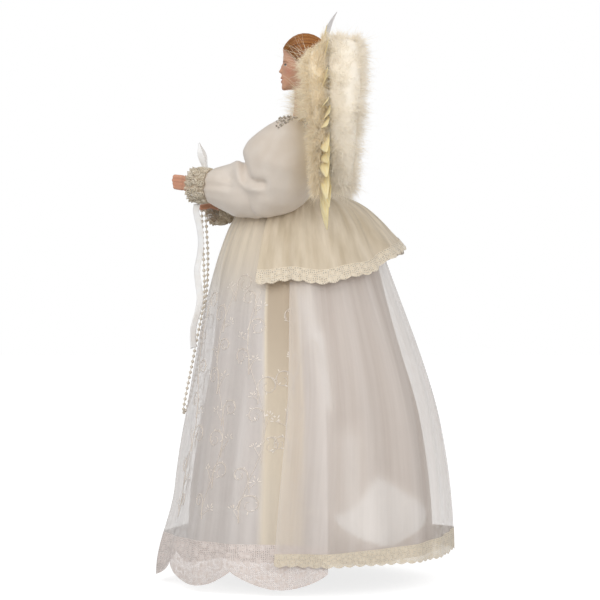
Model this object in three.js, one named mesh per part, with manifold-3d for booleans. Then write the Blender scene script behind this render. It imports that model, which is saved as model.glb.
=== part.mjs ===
// Angel tree topper: a bisque-headed figure in a layered gown, with feathered wings.
// Millimetres, +Z up. The angel faces -Y and its left hand is on +X.
// The origin is the middle of the open mouth of the card cone that slips over the treetop.

import * as THREE from 'three';
import { mergeVertices } from 'three/addons/utils/BufferGeometryUtils.js';
import loadManifold from 'manifold-3d';

const wasm = await loadManifold();
wasm.setup();

// Fits between pieces
const SEAT_GAP = 0.3;
const SWING_GAP = 0.5;
const CLOTH = 0.8;
const LAYER_GAP = 1.2;

// Tree cone, rolled from card
const CONE_MOUTH_R = 52;
const CONE_TOP_R = 14;
const CONE_HEIGHT = 236;
const CONE_WALL = 1.2;

// Stuffed figure: half widths, half depths and the set of each level from front to back
const WAIST_RISE = 7;
const WAIST_R = 14.5;
const RIB_RISE = 13;
const RIB_HALF_WIDTH = 16.2;
const RIB_HALF_DEPTH = 15;
const BUST_RISE = 23;
const BUST_HALF_WIDTH = 17.8;
const BUST_HALF_DEPTH = 16;
const SHOULDER_RISE = 39;
const SHOULDER_HALF_WIDTH = 19.2;
const SHOULDER_HALF_DEPTH = 12;
const NECK_R = 7.6;
const SPIGOT_LENGTH = 8;

// Shoulder line that the arms turn on
const SHOULDER_Y = 2;
const ARM_WIRE_R = 1.1;
const ARM_BORE_DEPTH = 11;
const ARMHOLE_R = 9;

// Bisque shoulder plate and head
const PLATE_WALL = 2;
const PLATE_RIM_RISE = 4;
const NECK_RISE = 13;
const HEAD_RISE = 51;
const HEAD_Y = 3;
const HEAD_HALF_WIDTH = 14.4;
const HEAD_FRONT = 15.4;
const HEAD_BACK = 16.6;
const HEAD_TOP = 18.6;
const HEAD_CHIN = 19.4;
const HAIRLINE_LEAN = 42;
const HAIR_THICKNESS = 2.8;
const BUN_R = 8;
const BUN_DEPTH = 6.5;

// Neckline: a plane that rises from the front to the nape
const NECKLINE_FRONT_RISE = 7.5;
const NECKLINE_SLOPE = 0.5;
const NECK_BEAD_R = 1.5;
const NECK_BEADS = 22;

// Gown: radius of the innermost layer by its drop below the waist
const WAISTBAND_HEIGHT = 5;
const GOWN_CROWN = 24;
const CROWN_DROP = 8;
const GOWN_HEM_R = 93;
const GOWN_LENGTH = 250;
const GOWN_SET_BACK = 8;
const FOLD_DEPTH = 4.5;
const FOLD_GRID = 8;
const SIDE_SQUEEZE = 0.2;
const SQUEEZE_DROP = 40;
const UNDERSKIRT_SHORT = 6;
const UNDERSKIRT_INSET = 10;
const UNDERSKIRT_WAVE = 2.4;
const UNDERSKIRT_FLARE = 9;
const OVERSKIRT_LACE = 7;
const OVERSKIRT_TOP_EDGE = 86;
const OVERSKIRT_HEM_EDGE = 75;
const PANEL_HALF_ANGLE = 96;
const PANEL_SHORT = 14;
const FRONT_LACE = 30;
const FRONT_KICK = 11;
const KICK_START = 205;
const SCALLOP_DEPTH = 12;
const SCALLOPS = 5;
const PEPLUM_EDGE = 64;
const PEPLUM_SIDE_DROP = 62;
const PEPLUM_REAR_DROP = 37;
const PEPLUM_LACE = 8;
const PEPLUM_SIDE_FLARE = 2;
const PEPLUM_REAR_FLARE = 15;

// Sleeves, forearms and hands, from the shoulder line
const PUFF_X = 42;
const PUFF_Y = -14;
const PUFF_HALF_WIDTH = 22;
const PUFF_HALF_DEPTH = 25;
const PUFF_CAP_RISE = 8;
const PUFF_DROP = 57;
const PUFF_LEAN = 16;
const FOREARM_PUFF_R = 17.5;
const GATHER_R = 8;
const ELBOW = [38, -15, -37];
const FOREARM_R = 4.4;
const FOREARM_BACK = 20;
const HAND_LENGTH = 29;
const PALM_HALF_WIDTH = 5.6;
const PALM_HALF_THICKNESS = 3;
const FINGER_R = 1.5;
const CUFF_LENGTH = 15;
const CUFF_R = 12.5;
const CUFF_LOBES = 9;
const ARM_RAISE = 35;

// Wings, from their hinge lines on the back and the height of the shoulder line
const HINGE_X = 9;
const HINGE_DROP = 26;
const HINGE_RISE = 6;
const WING_WIRE_R = 0.9;
const CHANNEL_WALL = 1;
const WING_CARD = 1;
const FEATHER = 0.5;
const FEATHER_HALF_WIDTH = 9;
const FAN_U = 45;
const FAN_RISE = 16;
const QUILL_START = 6;
const PRIMARIES = [
  { angle: 82, reach: 64, bend: 8 },
  { angle: 60, reach: 58, bend: 2 },
  { angle: 38, reach: 62, bend: 2 },
  { angle: 16, reach: 66, bend: 2 },
  { angle: -8, reach: 66, bend: 2 },
  { angle: -32, reach: 68, bend: 2 },
  { angle: -55, reach: 76, bend: 2 },
  { angle: -75, reach: 86, bend: 2 },
];
const COVERT_REACH = 33;
const COVERT_TUFTS = 7;
const FRONT_FLUFF_HALF_DEPTH = 5.5;
const FRONT_FLUFF_HALF_WIDTH = 11;
const BACK_FLUFF_HALF_DEPTH = 11;
const BACK_FLUFF_HALF_WIDTH = 13;

// Ribbon and pearls, with their routes from the shoulder line
const RIBBON_WIDTH = 4.5;
const RIBBON_THICKNESS = 0.6;
const BOW_HEIGHT = 16;
const BOW_HALF_WIDTH = 2.8;
const BOW_TURN = 74;
const PEARL_R = 1.2;
const STREAMER_ROUTE = [
  [13, -73.5, -47.1], [13, -74, -53], [13, -71.8, -63], [13, -70.8, -73], [13, -71.6, -83],
  [13.5, -73.4, -93], [14, -72.4, -103], [14, -71.4, -112], [14, -72.6, -121], [14, -75.4, -131],
  [14, -76.2, -139], [14, -75.8, -147],
];
const PEARL_ROUTE = [
  [-6, -71, -51], [-6.5, -70.7, -67], [-8, -70, -82], [-9, -69.6, -94], [-11, -69.4, -106],
  [-12.5, -71, -122], [-13, -74.6, -140], [-12.5, -78, -158], [-11.5, -81.4, -175], [-12.5, -84, -189],
  [-17, -84, -193.5], [-22, -81.5, -188], [-25, -78, -174], [-25, -74.5, -156], [-23, -71.4, -136],
  [-19.5, -69, -116], [-15, -67.4, -98], [-12, -67, -82], [-9.5, -67.6, -68], [-8, -68.5, -50.6],
];

const WAIST_Z = CONE_HEIGHT + WAIST_RISE;
const SHOULDER_Z = WAIST_Z + SHOULDER_RISE;
const PLATE_RIM_Z = SHOULDER_Z + PLATE_RIM_RISE;
const NECK_Z = SHOULDER_Z + NECK_RISE;
const HEAD_Z = SHOULDER_Z + HEAD_RISE;
const HINGE_BOTTOM = SHOULDER_Z - HINGE_DROP;
const HINGE_TOP = SHOULDER_Z + HINGE_RISE;
const ROUND = 16;

// Mesh helpers

// A geometry of shared points and triangles, with its faces turned outwards.
function closedGeometry(points, triangles) {
  let volume = 0;
  for (const [a, b, c] of triangles) {
    volume += points[a].dot(points[b].clone().cross(points[c])) / 6;
  }
  const turned = volume < 0 ? triangles.map(([a, b, c]) => [a, c, b]) : triangles;
  const geometry = new THREE.BufferGeometry();
  geometry.setAttribute('position', new THREE.Float32BufferAttribute(points.flatMap((p) => p.toArray()), 3));
  geometry.setIndex(turned.flat());
  geometry.computeVertexNormals();
  return geometry;
}

// The points and triangles of any closed geometry, with doubles merged and slivers dropped.
function welded(geometry) {
  const bare = new THREE.BufferGeometry();
  bare.setAttribute('position', geometry.getAttribute('position').clone());
  if (geometry.index) bare.setIndex(geometry.index.clone());
  const merged = mergeVertices(bare, 1e-4);
  const index = merged.index.array;
  const kept = [];
  for (let i = 0; i < index.length; i += 3) {
    const [a, b, c] = [index[i], index[i + 1], index[i + 2]];
    if (a !== b && b !== c && c !== a) kept.push(a, b, c);
  }
  return { positions: merged.getAttribute('position').array, triangles: kept };
}

function toSolid(geometry) {
  const { positions, triangles } = welded(geometry);
  const mesh = new wasm.Mesh({
    numProp: 3,
    vertProperties: new Float32Array(positions),
    triVerts: new Uint32Array(triangles),
  });
  return new wasm.Manifold(mesh);
}

function toGeometry(solid) {
  const { numProp, vertProperties, triVerts } = solid.getMesh();
  const positions = [];
  for (let i = 0; i < vertProperties.length; i += numProp) {
    positions.push(vertProperties[i], vertProperties[i + 1], vertProperties[i + 2]);
  }
  const geometry = new THREE.BufferGeometry();
  geometry.setAttribute('position', new THREE.Float32BufferAttribute(positions, 3));
  geometry.setIndex(Array.from(triVerts));
  geometry.computeVertexNormals();
  return geometry;
}

const cut = (geometry, ...tools) => toGeometry(
  tools.reduce((solid, tool) => solid.subtract(toSolid(tool)), toSolid(geometry)));

const join = (...geometries) => toGeometry(
  geometries.map(toSolid).reduce((solid, next) => solid.add(next)));

// Quads between ring i and ring j, both of the same count.
function bridge(triangles, i, j, count, closed = true) {
  for (let k = 0; k < (closed ? count : count - 1); k += 1) {
    const next = (k + 1) % count;
    triangles.push([i + k, i + next, j + next], [i + k, j + next, j + k]);
  }
}

// A solid through a stack of rings, capped at both ends.
function loft(rings) {
  const count = rings[0].length;
  const points = rings.flat();
  const triangles = [];
  for (let r = 0; r + 1 < rings.length; r += 1) {
    bridge(triangles, r * count, (r + 1) * count, count);
  }
  const last = (rings.length - 1) * count;
  for (let k = 1; k + 1 < count; k += 1) {
    triangles.push([0, k + 1, k], [last, last + k, last + k + 1]);
  }
  return closedGeometry(points, triangles);
}

// A ring of sections that closes on itself, such as a trim or a cuff.
function hoop(sections) {
  const count = sections[0].length;
  const triangles = [];
  sections.forEach((section, s) => {
    bridge(triangles, s * count, ((s + 1) % sections.length) * count, count);
  });
  return closedGeometry(sections.flat(), triangles);
}

// A thin sheet: place(across, along, face) gives a point for 0 to 1 both ways on face 0 or 1.
function sheet(place, columns, rows) {
  const points = [];
  const triangles = [];
  const width = columns + 1;
  const size = width * (rows + 1);
  for (const face of [0, 1]) {
    for (let j = 0; j <= rows; j += 1) {
      for (let i = 0; i <= columns; i += 1) points.push(place(i / columns, j / rows, face));
    }
  }
  for (let j = 0; j < rows; j += 1) {
    for (let i = 0; i < columns; i += 1) {
      const a = j * width + i;
      const b = a + width;
      triangles.push([a, a + 1, b + 1], [a, b + 1, b]);
      triangles.push([size + a, size + b + 1, size + a + 1], [size + a, size + b, size + b + 1]);
    }
  }
  const rim = [];
  for (let i = 0; i < columns; i += 1) rim.push(i);
  for (let j = 0; j < rows; j += 1) rim.push(j * width + columns);
  for (let i = columns; i > 0; i -= 1) rim.push(rows * width + i);
  for (let j = rows; j > 0; j -= 1) rim.push(j * width);
  rim.forEach((a, k) => {
    const b = rim[(k + 1) % rim.length];
    triangles.push([a, size + a, size + b], [a, size + b, b]);
  });
  return closedGeometry(points, triangles);
}

// A full ring of cloth: place(turn, along, face), with turn from 0 to 1 round the body.
function skirt(place, columns, rows) {
  const sections = [];
  for (let i = 0; i < columns; i += 1) {
    const section = [];
    for (let j = 0; j <= rows; j += 1) section.push(place(i / columns, j / rows, 0));
    for (let j = rows; j >= 0; j -= 1) section.push(place(i / columns, j / rows, 1));
    sections.push(section);
  }
  return hoop(sections);
}

function mirrored(geometry) {
  const copy = geometry.clone();
  copy.scale(-1, 1, 1);
  const index = copy.index.array;
  for (let i = 0; i < index.length; i += 3) [index[i + 1], index[i + 2]] = [index[i + 2], index[i + 1]];
  copy.computeVertexNormals();
  return copy;
}

function regularSection(radius, sides) {
  const corners = [];
  for (let k = 0; k < sides; k += 1) {
    const turn = (2 * Math.PI * k) / sides;
    corners.push(new THREE.Vector2(radius * Math.cos(turn), radius * Math.sin(turn)));
  }
  return new THREE.Shape(corners);
}

const tube = (path, radius, sides, steps) => new THREE.ExtrudeGeometry(
  regularSection(radius, sides), { steps, extrudePath: path, bevelEnabled: false });

const curveThrough = (route) => new THREE.CatmullRomCurve3(route.map((p) => new THREE.Vector3(...p)));

// A round bar from one point to another.
function rod(from, to, radius, sides, endRadius = radius) {
  const way = to.clone().sub(from);
  const geometry = new THREE.CylinderGeometry(endRadius, radius, way.length(), sides);
  geometry.translate(0, way.length() / 2, 0);
  const turn = new THREE.Quaternion().setFromUnitVectors(new THREE.Vector3(0, 1, 0), way.normalize());
  geometry.applyQuaternion(turn);
  geometry.translate(from.x, from.y, from.z);
  return geometry;
}

const radians = THREE.MathUtils.degToRad;
const mix = THREE.MathUtils.lerp;
const ease = THREE.MathUtils.smoothstep;

// Figure levels: [height, half width, half depth, y], from the waist to the neck
const FIGURE = [
  [WAIST_Z, WAIST_R, WAIST_R, 0],
  [WAIST_Z + RIB_RISE, RIB_HALF_WIDTH, RIB_HALF_DEPTH, -1],
  [WAIST_Z + BUST_RISE, BUST_HALF_WIDTH, BUST_HALF_DEPTH, -2.3],
  [SHOULDER_Z, SHOULDER_HALF_WIDTH, SHOULDER_HALF_DEPTH, SHOULDER_Y],
  [PLATE_RIM_Z, SHOULDER_HALF_WIDTH - 0.6, SHOULDER_HALF_DEPTH - 0.5, SHOULDER_Y + 0.8],
  [mix(PLATE_RIM_Z, NECK_Z, 0.5), mix(SHOULDER_HALF_WIDTH, NECK_R, 0.4),
    SHOULDER_HALF_DEPTH - 1.6, SHOULDER_Y + 2],
  [NECK_Z, NECK_R + 2, NECK_R + 1, HEAD_Y - 0.5],
  [NECK_Z + 5, NECK_R, NECK_R, HEAD_Y],
  [HEAD_Z - HEAD_CHIN / 2, NECK_R, NECK_R, HEAD_Y + 1],
];

function figureAt(z) {
  let k = 0;
  while (k + 2 < FIGURE.length && z > FIGURE[k + 1][0]) k += 1;
  const share = (z - FIGURE[k][0]) / (FIGURE[k + 1][0] - FIGURE[k][0]);
  return FIGURE[k].map((value, i) => mix(value, FIGURE[k + 1][i], share));
}

function figurePoint(z, turn, grow) {
  const [, halfWidth, halfDepth, y] = figureAt(z);
  return new THREE.Vector3(
    (halfWidth + grow) * Math.sin(turn), y - (halfDepth + grow) * Math.cos(turn), z);
}

function figureRing(z, grow, lift = 0) {
  const ring = [];
  for (let k = 0; k < ROUND; k += 1) {
    const point = figurePoint(z, (2 * Math.PI * k) / ROUND, grow);
    point.z += lift;
    ring.push(point);
  }
  return ring;
}

function discRing(z, radius) {
  const ring = [];
  for (let k = 0; k < ROUND; k += 1) {
    const turn = (2 * Math.PI * k) / ROUND;
    ring.push(new THREE.Vector3(radius * Math.sin(turn), -radius * Math.cos(turn), z));
  }
  return ring;
}

const figureHeights = (low, high) => [
  low, ...FIGURE.map(([z]) => z).filter((z) => z > low + 0.5 && z < high - 0.5), high];

// Tree cone and torso

function treeCone() {
  const profile = [
    new THREE.Vector2(CONE_MOUTH_R - CONE_WALL, 0),
    new THREE.Vector2(CONE_MOUTH_R, 0),
    new THREE.Vector2(CONE_TOP_R, CONE_HEIGHT),
    new THREE.Vector2(CONE_TOP_R - CONE_WALL, CONE_HEIGHT),
    new THREE.Vector2(CONE_MOUTH_R - CONE_WALL, 0),
  ];
  const cone = new THREE.LatheGeometry(profile, 24);
  cone.rotateX(Math.PI / 2);
  return cone;
}

function torso() {
  const seat = CONE_HEIGHT + SEAT_GAP;
  const spigotR = CONE_TOP_R - CONE_WALL - SEAT_GAP;
  const inset = -(PLATE_WALL + SEAT_GAP);
  const body = loft([
    discRing(seat - SPIGOT_LENGTH, spigotR), discRing(seat, spigotR), discRing(seat, WAIST_R),
    ...figureHeights(WAIST_Z, PLATE_RIM_Z).map((z) => figureRing(z, 0)),
    ...figureHeights(PLATE_RIM_Z, NECK_Z).map((z) => figureRing(z, inset)),
  ]);
  const bores = [1, -1].map((side) => rod(
    new THREE.Vector3(side * (SHOULDER_HALF_WIDTH - ARM_BORE_DEPTH), SHOULDER_Y, SHOULDER_Z),
    new THREE.Vector3(side * (SHOULDER_HALF_WIDTH + 5), SHOULDER_Y, SHOULDER_Z),
    ARM_WIRE_R + SWING_GAP, 10));
  return cut(body, ...bores);
}

// Head, modelled as a ball pushed out and in by soft bumps round the face

// How far the bump at (turn, lift) degrees is felt at a direction.
const bump = (turn, lift, atTurn, atLift, spreadTurn, spreadLift) => Math.exp(
  -(((turn - atTurn) / spreadTurn) ** 2) - ((lift - atLift) / spreadLift) ** 2);

function faceRelief(turn, lift) {
  const side = Math.abs(turn);
  return 2.2 * bump(side, lift, 0, 38, 45, 9)
    - 0.8 * bump(side, lift, 0, 7, 12, 8)
    - 0.9 * bump(side, lift, 19, 2, 9, 6)
    + 2.9 * bump(side, lift, 0, -14, 7, 6)
    + 0.5 * bump(side, lift, 32, -14, 12, 10)
    + 1.6 * bump(side, lift, 0, -29, 11, 6)
    + 5.6 * bump(side, lift, 0, -47, 24, 14)
    + 0.7 * bump(side, lift, 0, -51, 18, 5);
}

// A ball of the head's size: grow makes it thicker all over, relief adds the face.
function headBall(grow, relief, columns, rows) {
  const ball = new THREE.SphereGeometry(1, columns, rows);
  ball.rotateX(Math.PI / 2);
  const position = ball.getAttribute('position');
  const way = new THREE.Vector3();
  for (let i = 0; i < position.count; i += 1) {
    way.fromBufferAttribute(position, i).normalize();
    const depth = way.y < 0 ? HEAD_FRONT : HEAD_BACK;
    const height = way.z > 0 ? HEAD_TOP : HEAD_CHIN;
    const jaw = 1 - 0.2 * ease(-way.z, 0.1, 0.9);
    let reach = 1 / Math.hypot(way.x / (HEAD_HALF_WIDTH * jaw), way.y / depth, way.z / height);
    const turn = THREE.MathUtils.radToDeg(Math.atan2(way.x, -way.y));
    const lift = THREE.MathUtils.radToDeg(Math.asin(way.z));
    if (relief) reach += faceRelief(turn, lift);
    way.multiplyScalar(reach + grow);
    position.setXYZ(i, way.x, way.y + HEAD_Y, way.z + HEAD_Z);
  }
  return ball;
}

const HEAD_FACETS = [24, 18];

const neck = (grow) => loft(figureHeights(NECK_Z, FIGURE.at(-1)[0]).map((z) => figureRing(z, grow)));

function shoulderHead() {
  const plateHeights = figureHeights(PLATE_RIM_Z + SEAT_GAP, NECK_Z + 1);
  const plate = loft(plateHeights.map((z) => figureRing(z, 0)));
  const hollow = loft(figureHeights(PLATE_RIM_Z - 2, NECK_Z).map(
    (z) => figureRing(z, -PLATE_WALL, z === NECK_Z ? SEAT_GAP : 0)));
  return join(cut(join(plate, neck(-SEAT_GAP)), hollow), headBall(0, true, ...HEAD_FACETS));
}

// Everything in front of and below the hairline, from the brow to the nape.
function faceSide() {
  const block = new THREE.BoxGeometry(80, 80, 80);
  block.translate(0, -40, 0);
  block.rotateX(radians(HAIRLINE_LEAN));
  block.translate(0, HEAD_Y - HEAD_FRONT + 0.2, HEAD_Z + HEAD_TOP * 0.6);
  return block;
}

const wigBall = (grow) => headBall(HAIR_THICKNESS + grow, false, 14, 10);

const hairWig = () => cut(
  wigBall(0), headBall(SEAT_GAP, true, ...HEAD_FACETS), neck(SEAT_GAP), faceSide());

function hairBun() {
  const bun = new THREE.SphereGeometry(1, 12, 8);
  bun.scale(BUN_R, BUN_DEPTH, BUN_R * 0.9);
  bun.translate(0, HEAD_Y + HEAD_BACK + HAIR_THICKNESS + SEAT_GAP + 1.5, HEAD_Z + 1);
  return cut(bun, wigBall(SEAT_GAP));
}

// Bodice and its neckline

const BODICE_INSIDE = SEAT_GAP;
const BODICE_OUTSIDE = SEAT_GAP + CLOTH;
const BODICE_HALF_WIDTH = SHOULDER_HALF_WIDTH + BODICE_OUTSIDE;
const BODICE_BACK_Y = Math.max(...FIGURE.map(([, , halfDepth, y]) => y + halfDepth)) + BODICE_OUTSIDE;
const NECKLINE_FRONT_Z = SHOULDER_Z + NECKLINE_FRONT_RISE;
const NECKLINE_FRONT_Y = -SHOULDER_HALF_DEPTH + SHOULDER_Y;

const necklineHeight = (y) => NECKLINE_FRONT_Z + NECKLINE_SLOPE * (y - NECKLINE_FRONT_Y);

function bodice() {
  const top = NECK_Z + 5;
  const outside = loft(figureHeights(WAIST_Z, top).map((z) => figureRing(z, BODICE_OUTSIDE)));
  const inside = loft(figureHeights(WAIST_Z, top).map(
    (z) => figureRing(z, BODICE_INSIDE, z === WAIST_Z ? -1 : Number(z === top))));
  const above = new THREE.BoxGeometry(120, 120, 60);
  above.translate(0, 0, 30);
  above.rotateX(Math.atan(NECKLINE_SLOPE));
  above.translate(0, NECKLINE_FRONT_Y, NECKLINE_FRONT_Z);
  const armholes = [1, -1].map((side) => rod(
    new THREE.Vector3(side * (SHOULDER_HALF_WIDTH - 7), SHOULDER_Y, SHOULDER_Z),
    new THREE.Vector3(side * (SHOULDER_HALF_WIDTH + 9), SHOULDER_Y, SHOULDER_Z), ARMHOLE_R, 16));
  return cut(outside, inside, above, ...armholes);
}

// A rope of beads laid on the bodice along the neckline.
function neckBeadTrim() {
  const sections = [];
  const stand = BODICE_OUTSIDE + 2 * SEAT_GAP + NECK_BEAD_R;
  for (let k = 0; k < 2 * NECK_BEADS; k += 1) {
    const turn = (Math.PI * k) / NECK_BEADS;
    let z = NECKLINE_FRONT_Z;
    for (let pass = 0; pass < 12; pass += 1) z = necklineHeight(figurePoint(z, turn, stand).y) - NECK_BEAD_R;
    const middle = figurePoint(z, turn, stand);
    const radius = NECK_BEAD_R * (k % 2 ? 0.65 : 1);
    const outward = new THREE.Vector3(Math.sin(turn), -Math.cos(turn), 0);
    const section = [];
    for (let s = 0; s < 5; s += 1) {
      const angle = radians(72 * s);
      const point = middle.clone().addScaledVector(outward, radius * Math.cos(angle));
      point.z += radius * Math.sin(angle);
      section.push(point);
    }
    sections.push(section);
  }
  return hoop(sections);
}

// Gown

const GOWN_WAIST_R = WAIST_R + BODICE_OUTSIDE + 2 * SEAT_GAP;
const LAYER = CLOTH + LAYER_GAP;
const layerOffset = (layer) => layer * LAYER;
const UNDERSKIRT = 0;
const PANEL = 1;
const OVERSKIRT = 2;
const PEPLUM = 3;
const GOWN_TOP_R = GOWN_WAIST_R + layerOffset(PEPLUM) + CLOTH;

// Soft folds round the gown, from -1 to 1, by the angle from the front.
const foldShape = (angle) => 0.5 * Math.sin(8 * angle + 0.6)
  + 0.3 * Math.sin(11 * angle + 2.1) + 0.2 * Math.sin(5 * angle + 4);

function gownRadius(drop) {
  const crown = GOWN_CROWN * (1 - Math.exp(-drop / CROWN_DROP));
  const quarter = (Math.PI / 2) * Math.min(1.15, drop / GOWN_LENGTH);
  return GOWN_WAIST_R + crown + (GOWN_HEM_R - GOWN_WAIST_R - GOWN_CROWN) * Math.sin(quarter);
}

// The sleeves press the gown in at the sides, and it hangs a little further out behind than in front.
const gownSqueeze = (drop) => 1 - SIDE_SQUEEZE * ease(drop, 0, 6) * Math.exp(-((drop / SQUEEZE_DROP) ** 2));
const gownSetBack = (drop) => GOWN_SET_BACK * ease(drop, 0.15 * GOWN_LENGTH, 0.65 * GOWN_LENGTH);

// A point of the gown at an angle from the front, a drop below the waist and an offset from its lining.
function gownPoint(angle, drop, offset, folds = 1) {
  const depth = folds * FOLD_DEPTH * ease(drop, 0.1 * GOWN_LENGTH, 1.1 * GOWN_LENGTH);
  const radius = gownRadius(drop) + offset + depth * foldShape(angle);
  return new THREE.Vector3(
    radius * Math.sin(angle) * gownSqueeze(drop),
    gownSetBack(drop) - radius * Math.cos(angle), WAIST_Z - drop);
}

function waistband() {
  const bottom = WAIST_Z + SEAT_GAP;
  const inner = WAIST_R + BODICE_OUTSIDE + 4 * SEAT_GAP;
  const roll = WAISTBAND_HEIGHT / 2;
  const profile = new THREE.Path();
  profile.moveTo(inner, bottom);
  profile.lineTo(GOWN_TOP_R, bottom);
  profile.absarc(GOWN_TOP_R - 1, bottom + roll, roll, -Math.PI / 3, Math.PI / 2, false);
  profile.lineTo(inner, bottom + WAISTBAND_HEIGHT);
  profile.lineTo(inner, bottom);
  const band = new THREE.LatheGeometry(profile.getPoints(2), 20);
  band.rotateX(Math.PI / 2);
  return band;
}

const face = (layer, side) => layerOffset(layer) + side * CLOTH;

// The levels that every long layer is drawn through, closest where the gown swells below the waist.
const GOWN_LEVELS = [0, 4, 9, 16, 28, 50, 95, 145, 195];
const levelsTo = (hem) => [...GOWN_LEVELS.filter((drop) => drop < hem - 10), hem];

// The lining hangs clear inside the folds in waves of its own, and its hem flares at the two sides.
function liningOffset(angle, drop) {
  const waves = Math.sin(7 * angle + 0.4) + 0.6 * Math.sin(12 * angle + 1.9);
  const fromSide = Math.abs(Math.abs(angle - Math.PI) - radians(70));
  const atSide = Math.exp(-((fromSide / radians(17)) ** 2));
  return UNDERSKIRT_WAVE * waves * ease(drop, 0.08 * GOWN_LENGTH, GOWN_LENGTH)
    + UNDERSKIRT_FLARE * atSide * ease(drop, 0.75 * GOWN_LENGTH, 0.93 * GOWN_LENGTH)
    - UNDERSKIRT_INSET * ease(drop, 0.04 * GOWN_LENGTH, 0.5 * GOWN_LENGTH);
}

function satinUnderskirt() {
  const levels = [...GOWN_LEVELS.filter((drop, k) => k % 2 === 0), GOWN_LENGTH - UNDERSKIRT_SHORT];
  const rows = levels.length - 1;
  return skirt((turn, along, side) => {
    const angle = 2 * Math.PI * turn;
    const drop = levels[Math.round(along * rows)];
    return gownPoint(angle, drop, face(UNDERSKIRT, side) + liningOffset(angle, drop), 0.2);
  }, 36, rows);
}

const overskirtEdge = (drop) => radians(mix(OVERSKIRT_TOP_EDGE, OVERSKIRT_HEM_EDGE, drop / GOWN_LENGTH));
const OVERSKIRT_FIRST = 88;
const OVERSKIRT_COLUMNS = (360 - 2 * OVERSKIRT_FIRST) / FOLD_GRID + 4;

// Columns stand on the fold grid round the back, with two more out to each front edge.
function overskirtAngle(across, drop) {
  const column = Math.round(across * OVERSKIRT_COLUMNS);
  const fromEnd = Math.min(column, OVERSKIRT_COLUMNS - column);
  if (fromEnd >= 2) return radians(OVERSKIRT_FIRST + FOLD_GRID * (column - 2));
  const angle = mix(overskirtEdge(drop), radians(OVERSKIRT_FIRST), fromEnd / 2);
  return column < 2 ? angle : 2 * Math.PI - angle;
}

const overskirtPoint = (across, drop, side) => gownPoint(
  overskirtAngle(across, drop), drop, face(OVERSKIRT, side));

function overskirt() {
  const levels = levelsTo(GOWN_LENGTH - OVERSKIRT_LACE - SEAT_GAP);
  const rows = levels.length - 1;
  return sheet((across, along, side) => overskirtPoint(
    across, levels[Math.round(along * rows)], side), OVERSKIRT_COLUMNS, rows);
}

const overskirtLaceHem = () => sheet((across, along, side) => overskirtPoint(
  across, GOWN_LENGTH - OVERSKIRT_LACE * (1 - along), side), OVERSKIRT_COLUMNS, 1);

function panelPoint(across, drop, side) {
  const angle = radians(mix(-PANEL_HALF_ANGLE, PANEL_HALF_ANGLE, across));
  const reach = ease(drop, KICK_START, GOWN_LENGTH + FRONT_LACE - PANEL_SHORT);
  const kick = FRONT_KICK * reach * Math.max(0, Math.cos(angle)) ** 2;
  return gownPoint(angle, drop, face(PANEL, side) + kick);
}

function frontPanel() {
  const levels = levelsTo(GOWN_LENGTH - PANEL_SHORT - SEAT_GAP);
  const rows = levels.length - 1;
  return sheet((across, along, side) => panelPoint(
    across, levels[Math.round(along * rows)], side), (2 * PANEL_HALF_ANGLE) / FOLD_GRID, rows);
}

// Lace below the panel, cut in deep scallops that meet in points.
function frontLaceHem() {
  const top = GOWN_LENGTH - PANEL_SHORT;
  return sheet((across, along, side) => {
    const scallop = SCALLOP_DEPTH * (Math.abs(Math.sin(Math.PI * SCALLOPS * across)) - 1);
    return panelPoint(across, top + (FRONT_LACE + scallop) * along, side);
  }, 8 * SCALLOPS, 1);
}

function peplumHem(angle) {
  const rear = ease(Math.abs(angle - Math.PI), 0, radians(75));
  return mix(PEPLUM_REAR_DROP, PEPLUM_SIDE_DROP, rear);
}

function peplumPoint(across, fromTop, fromHem, along, side) {
  const angle = mix(radians(PEPLUM_EDGE), radians(360 - PEPLUM_EDGE), across);
  const hem = peplumHem(angle);
  const drop = mix(fromTop, hem - fromHem, along);
  const rear = 1 - ease(Math.abs(angle - Math.PI), 0, radians(85));
  const flare = mix(PEPLUM_SIDE_FLARE, PEPLUM_REAR_FLARE, rear) * (drop / hem) ** 1.4;
  return gownPoint(angle, drop, face(PEPLUM, side) + flare);
}

const PEPLUM_COLUMNS = (360 - 2 * PEPLUM_EDGE) / FOLD_GRID;

const peplum = () => sheet((across, along, side) => peplumPoint(
  across, 0, PEPLUM_LACE + SEAT_GAP, along ** 1.6, side), PEPLUM_COLUMNS, 6);

const peplumLaceHem = () => sheet((across, along, side) => {
  const angle = mix(radians(PEPLUM_EDGE), radians(360 - PEPLUM_EDGE), across);
  return peplumPoint(across, peplumHem(angle) - PEPLUM_LACE, 0, along, side);
}, PEPLUM_COLUMNS, 1);

// The gown with room round it, as a solid that the sleeves are pressed against.
function gownEnvelope(room) {
  const rings = [];
  const steps = 5;
  const columns = 20;
  for (let j = 0; j <= steps; j += 1) {
    const drop = PEPLUM_SIDE_DROP * (j / steps) ** 1.5;
    const ring = [];
    for (let k = 0; k < columns; k += 1) {
      const point = gownPoint((2 * Math.PI * k) / columns, drop, face(PEPLUM, 1) + PEPLUM_SIDE_FLARE + room);
      point.z += room;
      ring.push(point);
    }
    rings.push(ring);
  }
  const bandTop = WAIST_Z + SEAT_GAP + WAISTBAND_HEIGHT + room;
  const overBand = rings[0].map((point) => point.clone().setZ(bandTop));
  return loft([overBand, ...rings]);
}

// Arms. Each is built from the shoulder line, and the right one is mirrored from its own points.

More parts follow.
